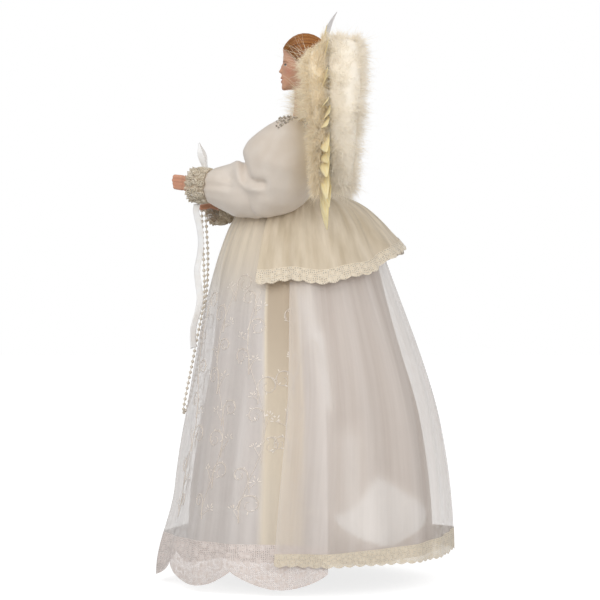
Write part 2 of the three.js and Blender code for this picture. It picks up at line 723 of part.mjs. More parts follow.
const ARMS = [
  { name: 'left', side: 1, wrist: [17, -63, -35], tip: [6, -90, -31.5], roll: 80 },
  { name: 'right', side: -1, wrist: [19.5, -51, -47], tip: [6, -73, -48], roll: 180 },
];
const SLEEVE_PLANE_X = BODICE_HALF_WIDTH + SEAT_GAP;
const shoulderPoint = () => new THREE.Vector3(0, SHOULDER_Y, SHOULDER_Z);
const forearmWay = (arm) => new THREE.Vector3(...arm.wrist).sub(new THREE.Vector3(...ELBOW)).normalize();
const handWay = (arm) => new THREE.Vector3(...arm.tip).sub(new THREE.Vector3(...arm.wrist)).normalize();

const cuffWay = (arm) => forearmWay(arm).add(handWay(arm)).normalize();

// A turn that carries +Y onto a way, with +Z kept as near to up as it can be.
function wayTurn(way) {
  const across = new THREE.Vector3().crossVectors(way, new THREE.Vector3(0, 0, 1)).normalize();
  const up = new THREE.Vector3().crossVectors(across, way);
  return new THREE.Matrix4().makeBasis(across, way, up);
}

function placedAlong(geometry, way, from) {
  geometry.applyMatrix4(wayTurn(way));
  geometry.translate(from.x, from.y, from.z);
  return geometry;
}

// The sleeve's two puffs: one over the upper arm and one along the forearm.
function sleeveBody(arm) {
  const columns = 14;
  const halfHeight = (PUFF_CAP_RISE + PUFF_DROP) / 2;
  const upper = new THREE.SphereGeometry(1, columns, Math.round(columns * 0.7));
  upper.scale(PUFF_HALF_WIDTH, PUFF_HALF_DEPTH, halfHeight);
  upper.rotateX(-radians(PUFF_LEAN));
  upper.translate(PUFF_X, PUFF_Y, PUFF_CAP_RISE - halfHeight);
  const elbow = new THREE.Vector3(...ELBOW);
  const length = new THREE.Vector3(...arm.wrist).sub(elbow).length();
  const profile = [new THREE.Vector2(0, -FOREARM_PUFF_R * 0.6)];
  const steps = 8;
  for (let k = 0; k <= steps; k += 1) {
    const t = k / steps;
    const swell = Math.sqrt(Math.max(0, Math.cos((Math.PI / 2) * ((t - 0.3) / 0.7))));
    const start = FOREARM_PUFF_R * (0.75 + 0.25 * ease(t, 0, 0.3));
    const radius = t < 0.3 ? start : mix(GATHER_R, FOREARM_PUFF_R, swell);
    profile.push(new THREE.Vector2(radius, t * length));
  }
  profile.push(new THREE.Vector2(0, length));
  const lower = placedAlong(new THREE.LatheGeometry(profile, columns), forearmWay(arm), elbow);
  return join(upper, lower);
}

// What the sleeve keeps clear of: the body's side and the gown, as the arm swings up.
function sleeveClearance() {
  const bodySide = new THREE.BoxGeometry(2 * SLEEVE_PLANE_X, 70, 160);
  bodySide.translate(0, PUFF_Y + 25, 0);
  const swings = [0, 0.35, 1].map((share) => {
    const gown = gownEnvelope(SWING_GAP);
    gown.translate(0, -SHOULDER_Y, -SHOULDER_Z);
    gown.rotateX(radians(ARM_RAISE * share));
    return gown;
  });
  return [bodySide, ...swings];
}

// The sleeve is plumped with wadding, with room along its middle for the forearm and the wire.
function sleeve(arm) {
  const wrist = new THREE.Vector3(...arm.wrist);
  const way = forearmWay(arm);
  const forearmRoom = rod(
    wrist.clone().addScaledVector(way, -FOREARM_BACK - SEAT_GAP), wrist.clone().addScaledVector(way, 5),
    FOREARM_R + SEAT_GAP, 10);
  return cut(sleeveBody(arm), ...sleeveClearance(), forearmRoom, armWire(arm, SEAT_GAP));
}

function forearm(arm) {
  const wrist = new THREE.Vector3(...arm.wrist);
  const way = forearmWay(arm);
  const back = wrist.clone().addScaledVector(way, -FOREARM_BACK);
  const profile = [
    [0, 0], [FOREARM_R, 0], [FOREARM_R, 3], [FOREARM_R - 0.9, 4], [FOREARM_R - 0.9, 6], [FOREARM_R, 7],
    [FOREARM_R, FOREARM_BACK - 4], [FOREARM_R - 0.8, FOREARM_BACK + 2], [0, FOREARM_BACK + 3],
  ].map(([r, y]) => new THREE.Vector2(r, y));
  const stem = placedAlong(new THREE.LatheGeometry(profile, 10), way, back);
  const bore = rod(
    back.clone().addScaledVector(way, -1), back.clone().addScaledVector(way, 9), ARM_WIRE_R + SEAT_GAP, 8);
  return join(cut(stem, bore), placedAlong(hand(arm.roll), handWay(arm), wrist));
}

// A left hand along +Y, palm up with slightly curled fingers, then rolled inwards by an angle.
function hand(roll) {
  const palmLength = HAND_LENGTH * 0.52;
  const palm = new THREE.SphereGeometry(1, 8, 6);
  palm.scale(PALM_HALF_WIDTH, palmLength * 0.68, PALM_HALF_THICKNESS);
  palm.translate(0, palmLength * 0.5, 0);
  const fingers = [-1.5, -0.5, 0.5, 1.5].map((place) => {
    const root = new THREE.Vector3(place * FINGER_R * 1.85, palmLength * 0.72, 0);
    const reach = HAND_LENGTH - palmLength * 0.72 - Math.abs(place - 0.5) * 1.6;
    const tip = root.clone().add(new THREE.Vector3(-place * 0.2, reach, 2));
    return rod(root, tip, FINGER_R, 6, FINGER_R * 0.7);
  });
  const thumb = rod(
    new THREE.Vector3(-PALM_HALF_WIDTH * 0.6, palmLength * 0.25, 0.8),
    new THREE.Vector3(-PALM_HALF_WIDTH - 1.2, palmLength * 0.98, 2.6), FINGER_R * 1.15, 6, FINGER_R * 0.75);
  const whole = join(palm, ...fingers, thumb);
  whole.rotateY(radians(roll));
  return whole;
}

function armWire(arm, room = 0) {
  const way = forearmWay(arm);
  const inForearm = new THREE.Vector3(...arm.wrist).addScaledVector(way, 8 - FOREARM_BACK);
  const mouth = inForearm.clone().addScaledVector(way, -9);
  const behind = mouth.clone().addScaledVector(way, -7);
  const stubStart = SHOULDER_HALF_WIDTH - ARM_BORE_DEPTH + SEAT_GAP;
  const stub = [0, 0.5, 1].map((share) => [mix(stubStart, SLEEVE_PLANE_X, share), 0, 0]);
  const route = [
    ...stub, [SLEEVE_PLANE_X + 6, -0.8, -2], [mix(SLEEVE_PLANE_X, ELBOW[0], 0.8), -6, ELBOW[2] * 0.45],
    behind.toArray(), mouth.toArray(), inForearm.toArray(),
  ];
  return tube(curveThrough(route), ARM_WIRE_R + room, 6, 20);
}

// A ruffled ring of gathered lace round the hand, seated on the sleeve's gathered end.
function cuffLace(arm) {
  const sections = [];
  const steps = 2 * CUFF_LOBES;
  const bore = PALM_HALF_WIDTH + FINGER_R + 2;
  for (let k = 0; k < steps; k += 1) {
    const turn = (2 * Math.PI * k) / steps;
    const lobe = 1 + 0.1 * Math.cos(CUFF_LOBES * turn);
    const section = [
      [bore, SEAT_GAP], [CUFF_R * 0.85, SEAT_GAP], [CUFF_R * lobe, CUFF_LENGTH * 0.4],
      [CUFF_R * 0.96 * lobe, CUFF_LENGTH * 0.85], [CUFF_R * 0.8 * lobe, CUFF_LENGTH],
      [bore, CUFF_LENGTH * 0.9],
    ];
    sections.push(section.map(([r, y]) => new THREE.Vector3(r * Math.cos(turn), y, r * Math.sin(turn))));
  }
  const way = cuffWay(arm);
  const clear = GATHER_R * Math.tan(way.angleTo(forearmWay(arm)));
  return placedAlong(hoop(sections), way, new THREE.Vector3(...arm.wrist).addScaledVector(way, clear));
}

// Ribbon loop that stands on top of the left cuff, turned until its flat faces the side.
function ribbonBow(arm) {
  const outline = new THREE.Shape();
  outline.moveTo(-RIBBON_THICKNESS, 0);
  outline.bezierCurveTo(
    -BOW_HALF_WIDTH * 1.6, BOW_HEIGHT * 0.4, -BOW_HALF_WIDTH, BOW_HEIGHT * 0.8, 0, BOW_HEIGHT);
  outline.bezierCurveTo(
    BOW_HALF_WIDTH, BOW_HEIGHT * 0.8, BOW_HALF_WIDTH * 1.6, BOW_HEIGHT * 0.4, RIBBON_THICKNESS, 0);
  const slot = new THREE.Path();
  const inner = BOW_HALF_WIDTH - RIBBON_THICKNESS;
  slot.moveTo(0, 2);
  slot.bezierCurveTo(inner * 1.5, BOW_HEIGHT * 0.42, inner, BOW_HEIGHT * 0.72, 0, BOW_HEIGHT - 2);
  slot.bezierCurveTo(-inner, BOW_HEIGHT * 0.72, -inner * 1.5, BOW_HEIGHT * 0.42, 0, 2);
  outline.holes.push(slot);
  const loop = new THREE.ExtrudeGeometry(
    outline, { depth: RIBBON_WIDTH, bevelEnabled: false, curveSegments: 6 });
  loop.translate(0, 0, -RIBBON_WIDTH / 2);
  loop.rotateX(Math.PI / 2);
  loop.rotateZ(Math.PI / 2 + radians(BOW_TURN));
  loop.rotateX(radians(14));
  const way = forearmWay(arm);
  const across = new THREE.Vector3().crossVectors(way, new THREE.Vector3(0, 0, 1));
  const up = new THREE.Vector3().crossVectors(across, way);
  const seat = new THREE.Vector3(...arm.wrist)
    .addScaledVector(way, CUFF_LENGTH * 0.4)
    .addScaledVector(up.normalize(), CUFF_R * 1.1 + SEAT_GAP);
  loop.translate(seat.x, seat.y, seat.z);
  return loop;
}

function ribbonStreamer() {
  const section = new THREE.Shape();
  section.moveTo(-RIBBON_THICKNESS / 2, -RIBBON_WIDTH / 2);
  section.lineTo(RIBBON_THICKNESS / 2, -RIBBON_WIDTH / 2);
  section.lineTo(RIBBON_THICKNESS / 2, RIBBON_WIDTH / 2);
  section.lineTo(-RIBBON_THICKNESS / 2, RIBBON_WIDTH / 2);
  section.closePath();
  const path = curveThrough(STREAMER_ROUTE);
  return new THREE.ExtrudeGeometry(section, { steps: 28, extrudePath: path, bevelEnabled: false });
}

const pearlStrand = () => tube(curveThrough(PEARL_ROUTE), PEARL_R, 6, 44);

// Wings, built from the hinge line: x outwards, y backwards, z up.

const SLEEVE_BACK_Y = SHOULDER_Y + PUFF_Y + PUFF_HALF_DEPTH * 1.06;
const COVERT_STACK = WING_WIRE_R + SEAT_GAP + WING_CARD + 3 * (FEATHER + SEAT_GAP);
const HINGE_Y = Math.max(SLEEVE_BACK_Y + SWING_GAP + COVERT_STACK, BODICE_BACK_Y + 4);
const CHANNEL_R = WING_WIRE_R + SWING_GAP + CHANNEL_WALL;
const CARD_BACK = -(WING_WIRE_R + SEAT_GAP);
const CARD_FRONT = CARD_BACK - WING_CARD;
const featherBack = (layer) => CARD_FRONT - SEAT_GAP - layer * (FEATHER + SEAT_GAP);
const FAN_Z = SHOULDER_Z + FAN_RISE;
const CARD_ROOT_U = CHANNEL_R + SWING_GAP + 1;

// The plate behind the bodice, with an upright channel at each edge for a wing's wire.
function wingAnchor() {
  const front = BODICE_BACK_Y + SEAT_GAP;
  const back = HINGE_Y - WING_WIRE_R - SWING_GAP - 0.2;
  const height = HINGE_TOP - HINGE_BOTTOM - 6;
  const middle = (HINGE_TOP + HINGE_BOTTOM) / 2;
  const plate = new THREE.BoxGeometry(2 * HINGE_X, back - front, height);
  plate.translate(0, (front + back) / 2, middle);
  const ends = [1, -1].map((side) => ({
    low: new THREE.Vector3(side * HINGE_X, HINGE_Y, middle - height / 2),
    high: new THREE.Vector3(side * HINGE_X, HINGE_Y, middle + height / 2),
  }));
  const posts = ends.map(({ low, high }) => rod(low, high, CHANNEL_R, 14));
  const bores = ends.map(({ low, high }) => rod(
    low.clone().add(new THREE.Vector3(0, 0, -1)), high.clone().add(new THREE.Vector3(0, 0, 1)),
    WING_WIRE_R + SWING_GAP, 14));
  return cut(join(plate, ...posts), ...bores);
}

// Frame wire: up through the channel, then out along the top and the bottom of the card.
function wingWire(room = 0) {
  const route = [
    [FAN_U + 18, FAN_Z + 31], [FAN_U - 6, FAN_Z + 27], [CARD_ROOT_U + 14, FAN_Z + 12], [3, HINGE_TOP + 5],
    [0, HINGE_TOP + 1], [0, HINGE_TOP - 6], [0, HINGE_BOTTOM + 6], [0, HINGE_BOTTOM - 1],
    [3, HINGE_BOTTOM - 4], [CARD_ROOT_U + 18, HINGE_BOTTOM + 1], [FAN_U + 5, HINGE_BOTTOM + 8],
  ].map(([u, z]) => [u, 0, z]);
  return tube(curveThrough(route), WING_WIRE_R + room, 6, 22);
}

function wingCard() {
  const outline = new THREE.Shape();
  outline.moveTo(CARD_ROOT_U, HINGE_BOTTOM - 2);
  outline.lineTo(CARD_ROOT_U, HINGE_TOP + 2);
  outline.quadraticCurveTo(CARD_ROOT_U + 12, FAN_Z + 16, FAN_U - 8, FAN_Z + 31);
  outline.bezierCurveTo(FAN_U + 8, FAN_Z + 46, FAN_U + 48, FAN_Z + 36, FAN_U + 46, FAN_Z - 4);
  outline.bezierCurveTo(FAN_U + 45, FAN_Z - 34, FAN_U + 10, HINGE_BOTTOM + 2, CARD_ROOT_U, HINGE_BOTTOM - 2);
  return flatPlate(outline, WING_CARD, CARD_FRONT);
}

// A flat outline in x and z, extruded backwards from a front face.
function flatPlate(outline, thickness, front) {
  const plate = new THREE.ExtrudeGeometry(
    outline, { depth: thickness, bevelEnabled: false, curveSegments: 4 });
  plate.rotateX(Math.PI / 2);
  plate.translate(0, front + thickness, 0);
  return plate;
}

// A feather from the fan's middle: round-shouldered vane, pointed tip, the tip curling backwards.
function primary({ angle, reach, bend }, layer) {
  const way = new THREE.Vector3(Math.cos(radians(angle)), 0, Math.sin(radians(angle)));
  const across = new THREE.Vector3(-way.z, 0, way.x);
  const taper = (t) => Math.min(1, 0.12 + 1.5 * t) * Math.max(0.05, 1 - t ** 4) ** 0.8;
  return sheet((side, along, skin) => {
    const point = new THREE.Vector3(FAN_U, featherBack(layer) - skin * FEATHER, FAN_Z);
    point.addScaledVector(way, mix(QUILL_START, reach, along));
    point.addScaledVector(across, (side - 0.5) * 2 * FEATHER_HALF_WIDTH * taper(along));
    point.y += bend * Math.max(0, (along - 0.72) / 0.28) ** 2;
    return point;
  }, 2, 6);
}

// The short feathers that cover the quills, glued in a row with rounded ends.
function coverts() {
  const outline = new THREE.Shape();
  const first = radians(98);
  const step = radians(-190 / COVERT_TUFTS);
  const at = (angle, reach) => [FAN_U + reach * Math.cos(angle), FAN_Z + reach * Math.sin(angle)];
  outline.moveTo(...at(first, COVERT_REACH * 0.8));
  for (let k = 0; k < COVERT_TUFTS; k += 1) {
    const [a, b] = [first + k * step, first + (k + 1) * step];
    outline.bezierCurveTo(
      ...at(mix(a, b, 0.1), COVERT_REACH * 1.12), ...at(mix(a, b, 0.9), COVERT_REACH * 1.12),
      ...at(b, COVERT_REACH * 0.8));
  }
  outline.quadraticCurveTo(FAN_U - 16, FAN_Z - 2, ...at(first, COVERT_REACH * 0.8));
  return flatPlate(outline, FEATHER, featherBack(2) - FEATHER);
}

// A bolster of marabou along the wing's arch, flattened against the feathers.
function fluff(halfDepth, halfWidth, middleY) {
  const arch = curveThrough([
    [FAN_U - 13, 0, FAN_Z + 25], [FAN_U + 4, 0, FAN_Z + 39], [FAN_U + 25, 0, FAN_Z + 35],
    [FAN_U + 42, 0, FAN_Z + 16], [FAN_U + 47, 0, FAN_Z - 8], [FAN_U + 41, 0, FAN_Z - 34],
    [FAN_U + 29, 0, FAN_Z - 57],
  ]);
  const rings = [];
  const steps = 12;
  for (let k = 0; k <= steps; k += 1) {
    const t = k / steps;
    const middle = arch.getPointAt(t);
    const way = arch.getTangentAt(t);
    const across = new THREE.Vector3(-way.z, 0, way.x);
    const plump = Math.max(0.2, Math.sin(Math.PI * mix(0.06, 0.94, k / steps))) ** 0.45;
    const ring = [];
    for (let s = 0; s < 8; s += 1) {
      const turn = (2 * Math.PI * s) / 8;
      const point = middle.clone().addScaledVector(across, halfWidth * plump * Math.cos(turn));
      point.y = middleY + halfDepth * plump * Math.sin(turn);
      ring.push(point);
    }
    rings.push(ring);
  }
  return loft(rings);
}

const frontFluff = () => fluff(
  FRONT_FLUFF_HALF_DEPTH, FRONT_FLUFF_HALF_WIDTH, featherBack(2) - FRONT_FLUFF_HALF_DEPTH);

// The back bolster is glued to the card, over the frame wire.
function backFluff() {
  const middleY = CARD_BACK + SEAT_GAP + BACK_FLUFF_HALF_DEPTH;
  return cut(fluff(BACK_FLUFF_HALF_DEPTH, BACK_FLUFF_HALF_WIDTH, middleY), wingWire(SEAT_GAP));
}

// Finishes

const finish = (color, roughness, metalness = 0) => () => new THREE.MeshStandardMaterial(
  { color, roughness, metalness });
const card = finish('#b9a684', 0.9);
const calico = finish('#dccfb8', 0.95);
const bisque = finish('#d9a383', 0.55);
const auburn = finish('#955c29', 0.5);
const satin = finish('#ece5dc', 0.4);
const organza = finish('#e6dfd8', 0.5);
const chiffon = finish('#e3d7b7', 0.6);
const lace = finish('#e9dfc9', 0.8);
const beads = finish('#c9c4b8', 0.25);
const wire = finish('#8d8a84', 0.4, 1);
const feather = finish('#e9deb0', 0.75);
const marabou = finish('#e9e3da', 0.95);

// Assembly

const angel = new THREE.Group();

function piece(group, name, geometry, material) {
  const mesh = new THREE.Mesh(geometry, material());
  mesh.name = name;
  group.add(mesh);
}

piece(angel, 'tree_cone', treeCone(), card);
piece(angel, 'torso', torso(), calico);
piece(angel, 'shoulder_head', shoulderHead(), bisque);
piece(angel, 'hair_wig', hairWig(), auburn);
piece(angel, 'hair_bun', hairBun(), auburn);
piece(angel, 'bodice', bodice(), satin);
piece(angel, 'neck_bead_trim', neckBeadTrim(), beads);
piece(angel, 'waistband', waistband(), satin);
piece(angel, 'satin_underskirt', satinUnderskirt(), satin);
piece(angel, 'front_panel', frontPanel(), organza);
piece(angel, 'front_lace_hem', frontLaceHem(), lace);
piece(angel, 'overskirt', overskirt(), organza);
piece(angel, 'overskirt_lace_hem', overskirtLaceHem(), lace);
piece(angel, 'peplum', peplum(), chiffon);
piece(angel, 'peplum_lace_hem', peplumLaceHem(), lace);
piece(angel, 'wing_anchor', wingAnchor(), card);

for (const arm of ARMS) {
  const group = new THREE.Group();
  group.position.copy(shoulderPoint());
  angel.add(group);
  const sided = (geometry) => (arm.side > 0 ? geometry : mirrored(geometry));
  piece(group, `${arm.name}_arm_wire`, sided(toGeometry(toSolid(armWire(arm)))), wire);
  piece(group, `${arm.name}_forearm`, sided(forearm(arm)), bisque);
  piece(group, `${arm.name}_sleeve`, sided(sleeve(arm)), satin);
  piece(group, `${arm.name}_cuff_lace`, sided(cuffLace(arm)), lace);
  if (arm.name === 'left') piece(group, 'ribbon_bow', ribbonBow(arm), satin);
}
const hanging = new THREE.Group();
hanging.position.copy(shoulderPoint());
angel.add(hanging);
piece(hanging, 'ribbon_streamer', ribbonStreamer(), satin);
piece(hanging, 'pearl_strand', pearlStrand(), beads);

for (const [name, side] of [['left', 1], ['right', -1]]) {
  const wing = new THREE.Group();
  wing.position.set(side * HINGE_X, HINGE_Y, 0);
  angel.add(wing);
  const sided = (geometry) => (side > 0 ? geometry : mirrored(toGeometry(toSolid(geometry))));
  piece(wing, `${name}_wing_wire`, sided(wingWire()), wire);
  piece(wing, `${name}_wing_card`, sided(wingCard()), card);
  PRIMARIES.forEach((shape, k) => {
    piece(wing, `${name}_primary_${k + 1}`, sided(primary(shape, k % 2)), feather);
  });
  piece(wing, `${name}_coverts`, sided(coverts()), feather);
  piece(wing, `${name}_front_marabou`, sided(frontFluff()), marabou);
  piece(wing, `${name}_back_marabou`, sided(backFluff()), marabou);
}

export default angel;
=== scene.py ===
# %% [markdown]
# # Angel tree topper
# A bisque-headed doll on a card cone, dressed in layers of satin, organza and lace, with wings of glued
# feathers and marabou. Lengths below are in millimetres and become metres when a mesh is made.
# The angel faces -Y, its left hand is on +X, and the photograph looks at it from +X.

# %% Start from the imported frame
import math

import bmesh
import bpy
import numpy as np
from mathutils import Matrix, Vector


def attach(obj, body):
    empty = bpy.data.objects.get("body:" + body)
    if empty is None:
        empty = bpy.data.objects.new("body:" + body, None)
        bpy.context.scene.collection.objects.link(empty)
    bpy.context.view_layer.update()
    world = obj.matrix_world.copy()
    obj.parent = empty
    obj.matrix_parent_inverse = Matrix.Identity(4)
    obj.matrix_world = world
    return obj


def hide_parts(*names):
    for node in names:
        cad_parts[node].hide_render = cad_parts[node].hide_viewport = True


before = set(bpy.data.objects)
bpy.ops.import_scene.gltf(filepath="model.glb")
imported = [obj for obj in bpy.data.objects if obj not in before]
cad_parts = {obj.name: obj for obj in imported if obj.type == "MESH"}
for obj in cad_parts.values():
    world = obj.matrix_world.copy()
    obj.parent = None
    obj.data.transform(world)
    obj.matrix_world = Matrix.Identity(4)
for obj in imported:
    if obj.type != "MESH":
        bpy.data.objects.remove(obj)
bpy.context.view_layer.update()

MM = 0.001
chance = np.random.default_rng(7)

# %% [markdown]
# ## Small tools
# Nearly all that shows here is cloth, lace or feather, which are sheets. A sheet is drawn as a flat grid
# and then placed point by point with a formula, so its UVs keep the cloth's own lengths and a weave or a
# lace pattern has its true size. A simulation could drape it too, but its folds would not then lie where
# the photograph shows them. Helpers that only a later step needs stand at that step.

# %% Sums


def ease(x, low, high):
    """Goes softly from 0 at low to 1 at high."""
    t = np.clip((np.asarray(x, float) - low) / (high - low), 0, 1)
    return t * t * (3 - 2 * t)


def mix(a, b, t):
    return a + (b - a) * t


def unit(v):
    v = np.asarray(v, float)
    return v / np.maximum(np.linalg.norm(v, axis=-1, keepdims=True), 1e-9)


def hump(x, at, wide):
    """A soft bump of height 1 at a place."""
    return np.exp(-(((x - at) / wide) ** 2))


print("a quarter of the way, ease gives", float(ease(0.25, 0, 1)))

# %% Meshes
WELD_DISTANCE = 0.005


def get_points(piece):
    points = np.empty(len(piece.data.vertices) * 3)
    piece.data.vertices.foreach_get("co", points)
    return points.reshape(-1, 3) / MM


def set_points(piece, points):
    piece.data.vertices.foreach_set("co", (np.asarray(points) * MM).ravel())
    piece.data.update()


def mesh_piece(name, points, faces):
    mesh = bpy.data.meshes.new(name)
    mesh.from_pydata((np.asarray(points) * MM).tolist(), [], faces)
    mesh.shade_smooth()
    piece = bpy.data.objects.new(name, mesh)
    bpy.context.collection.objects.link(piece)
    return piece


def made_here(name):
    """The object that the last operator made, with its place moved into its mesh."""
    piece = bpy.context.object
    piece.name = piece.data.name = name
    bpy.ops.object.transform_apply(location=True, rotation=True, scale=True)
    return piece


def ball(name, segments, rings, radius=1, place=(0, 0, 0)):
    """A ball, to be used as it is or drawn out into another shape."""
    bpy.ops.object.select_all(action="DESELECT")
    bpy.ops.mesh.primitive_uv_sphere_add(
        segments=segments, ring_count=rings, radius=radius * MM, location=np.multiply(place, MM))
    return made_here(name)


def weld(piece):
    """Joins points that lie on one another, as along the seam of a tube."""
    work = bmesh.new()
    work.from_mesh(piece.data)
    bmesh.ops.remove_doubles(work, verts=work.verts, dist=WELD_DISTANCE * MM)
    work.to_mesh(piece.data)
    work.free()


def cloth_grid(name, columns, rows, place, size):
    """A sheet: place(u, v) gives points for 0 to 1 across and up, size is its cut width and length."""
    bpy.ops.object.select_all(action="DESELECT")
    bpy.ops.mesh.primitive_grid_add(x_subdivisions=columns, y_subdivisions=rows, size=1)
    piece = made_here(name)
    spots = get_points(piece) * MM + 0.5
    set_points(piece, place(spots[:, 0], spots[:, 1]))
    uvs = np.empty(len(piece.data.loops) * 2)
    piece.data.uv_layers.active.data.foreach_get("uv", uvs)
    uvs = uvs.reshape(-1, 2) * np.array(size) * MM
    piece.data.uv_layers.active.data.foreach_set("uv", uvs.ravel())
    weld(piece)
    piece.data.shade_smooth()
    return piece


print("frame nodes to dress:", len(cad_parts))

# %% Finishing a piece


def modify(piece, kind, **settings):
    """Adds a modifier and applies it, so the shape stays in the mesh."""
    bpy.ops.object.select_all(action="DESELECT")
    piece.select_set(True)
    bpy.context.view_layer.objects.active = piece
    added = piece.modifiers.new(kind.lower(), kind)
    for name, value in settings.items():
        setattr(added, name, value)
    bpy.ops.object.modifier_apply(modifier=added.name)


def joined(name, *pieces):
    bpy.ops.object.select_all(action="DESELECT")
    for piece in pieces:
        piece.select_set(True)
    bpy.context.view_layer.objects.active = pieces[0]
    bpy.ops.object.join()
    bpy.context.object.name = name
    return bpy.context.object


def set_tint(piece, values):
    """Stores a value on each point, for the materials that vary along a piece: one value, or one for each."""
    layer = piece.data.attributes.new("tint", "FLOAT", "POINT")
    layer.data.foreach_set("value", np.full(len(piece.data.vertices), values, float))


def set_paint(piece, colours):
    """Stores a colour on each point, for painted bisque."""
    layer = piece.data.color_attributes.new("paint", "FLOAT_COLOR", "POINT")
    layer.data.foreach_set("color", colours.ravel())


def dress(piece, body, slot, finish, *nodes):
    """Gives a piece its material, lets it ride on a body and stand for CAD nodes. The slot is not used."""
    piece.data.materials.clear()
    piece.data.materials.append(finish)
    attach(piece, body)
    if nodes:
        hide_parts(*nodes)
    print(f"{piece.name}: {len(piece.data.polygons)} faces")
    return piece


# %% [markdown]
# ## Camera
# The photograph is square on to the angel's left side. A long lens from far away keeps the hem and the wing
# from leaning, as in the photograph.

# %% Camera at the photograph's place
camera_data = bpy.data.cameras.new("camera")
camera_data.sensor_width = 36
camera_data.lens = 128.6
camera = bpy.data.objects.new("camera", camera_data)
camera.location = (1.5, 0, 0.1682)
camera.rotation_euler = (math.radians(90), 0, math.radians(90))
bpy.context.collection.objects.link(camera)
bpy.context.scene.camera = camera
print("camera looks along -X from", camera.location.x, "m")

# %% [markdown]
# ## Materials
# Every colour is written as a screen colour and turned into light values by one function, and every node is
# added by another. Patterns follow object places or the cloth's own UVs, both in metres, so a scale is one
# over a length.

# %% Tools for materials


def linear(code):
    parts = [int(code[k:k + 2], 16) / 255 for k in (1, 3, 5)]
    return (*[p / 12.92 if p <= 0.04045 else ((p + 0.055) / 1.055) ** 2.4 for p in parts], 1)


def add(tree, kind, inputs, stops=(), **settings):
    """Adds a node, sets its properties and a ramp's stops, and sets or links its sockets."""
    made = tree.nodes.new(kind)
    for name, value in settings.items():
        setattr(made, name, value)
    for name, value in inputs.items():
        if isinstance(value, bpy.types.NodeSocket):
            tree.links.new(value, made.inputs[name])
        else:
            made.inputs[name].default_value = value
    if stops:
        elements = made.color_ramp.elements
        while len(elements) < len(stops):
            elements.new(0.5)
        for element, (place, code) in zip(elements, stops):
            element.position = place
            element.color = linear(code)
    return made


def per(size):
    """The texture scale for a pattern of that many millimetres."""
    return 1000 / size


def blank(name):
    made = bpy.data.materials.new(name)
    made.use_nodes = True
    made.node_tree.nodes.clear()
    return made, made.node_tree


def surface(tree, inputs, bump, strength, depth):
    """The shader, with bump from a height unless that is None: depth is in millimetres."""
    if bump is not None:
        inputs["Normal"] = add(tree, "ShaderNodeBump", {
            "Height": bump, "Strength": strength, "Distance": depth * MM}).outputs["Normal"]
    shader = add(tree, "ShaderNodeBsdfPrincipled", inputs)
    add(tree, "ShaderNodeOutputMaterial", {"Surface": shader.outputs["BSDF"]})


print("ivory as light:", np.round(linear("#E8DDD1"), 3))

# %% [markdown]
# The satin's long floating yarns give it a broad soft shine. Organza and chiffon are so thin that what is
# behind them shows, more where they lie single than where a gather lies double. Calico is matt. The yarns
# are drawn about four times as coarse as real ones, so that they show.

# %% Woven cloth
CLOUD = 18
# A wave texture has 20 / 6.28 bands to a unit of its scale, so a band is about twice the yarn given below.
BAND_SHARE = 6.28


def cloth(name, light, shade, roughness, sheen, alpha=None, yarn=0.35, fall=None, drawn=0.07):
    """Crossed yarns, cloudy colour, and thin where sheer. On a gathered cloth the clouds are as wide as fall
    says and are drawn out down it."""
    made, tree = blank(name)
    coords = add(tree, "ShaderNodeTexCoord", {}).outputs
    place, size = coords["Object"], CLOUD
    if fall is not None:
        hang = add(tree, "ShaderNodeMapping", {"Vector": coords["UV"], "Scale": (1, drawn, 1)})
        place, size = hang.outputs["Vector"], fall
    clouds = add(tree, "ShaderNodeTexNoise", {
        "Vector": place, "Scale": per(size), "Detail": 4.0}).outputs["Fac"]
    warp, weft = (add(tree, "ShaderNodeTexWave", {
        "Vector": coords["UV"], "Scale": per(yarn) / BAND_SHARE, "Distortion": 0.3},
        bands_direction=way).outputs["Fac"] for way in "XY")
    weave = add(tree, "ShaderNodeMath", {0: warp, 1: weft}, operation="MAXIMUM").outputs["Value"]
    colour = add(tree, "ShaderNodeValToRGB", {"Fac": clouds}, ((0.34, shade), (0.66, light))).outputs["Color"]
    inputs = {"Base Color": colour, "Roughness": roughness, "Sheen Weight": sheen, "Sheen Roughness": 0.4,
              "Specular IOR Level": 0.35}
    if alpha is not None:
        inputs["Alpha"] = add(tree, "ShaderNodeMapRange", {
            "Value": clouds, "From Min": 0.34, "From Max": 0.66,
            "To Min": alpha[0], "To Max": alpha[1]}).outputs["Result"]
    surface(tree, inputs, weave, 0.12, 0.06)
    return made


satin = cloth("ivory_satin", "#E8DDD1", "#E1D4C6", 0.36, 0.25)
organza = cloth("silk_organza", "#F4ECE6", "#E6DBD2", 0.45, 0.3, alpha=(0.36, 0.5), yarn=0.5, fall=20)
chiffon = cloth("cream_chiffon", "#E7D9C3", "#D9C8AC", 0.55, 0.3, alpha=(0.74, 0.9), yarn=0.5, fall=8,
                drawn=0.25)
calico = cloth("unbleached_calico", "#E2D6C0", "#CFC0A4", 0.9, 0.2, yarn=0.8)
print("woven:", satin.name, organza.name, chiffon.name, calico.name)
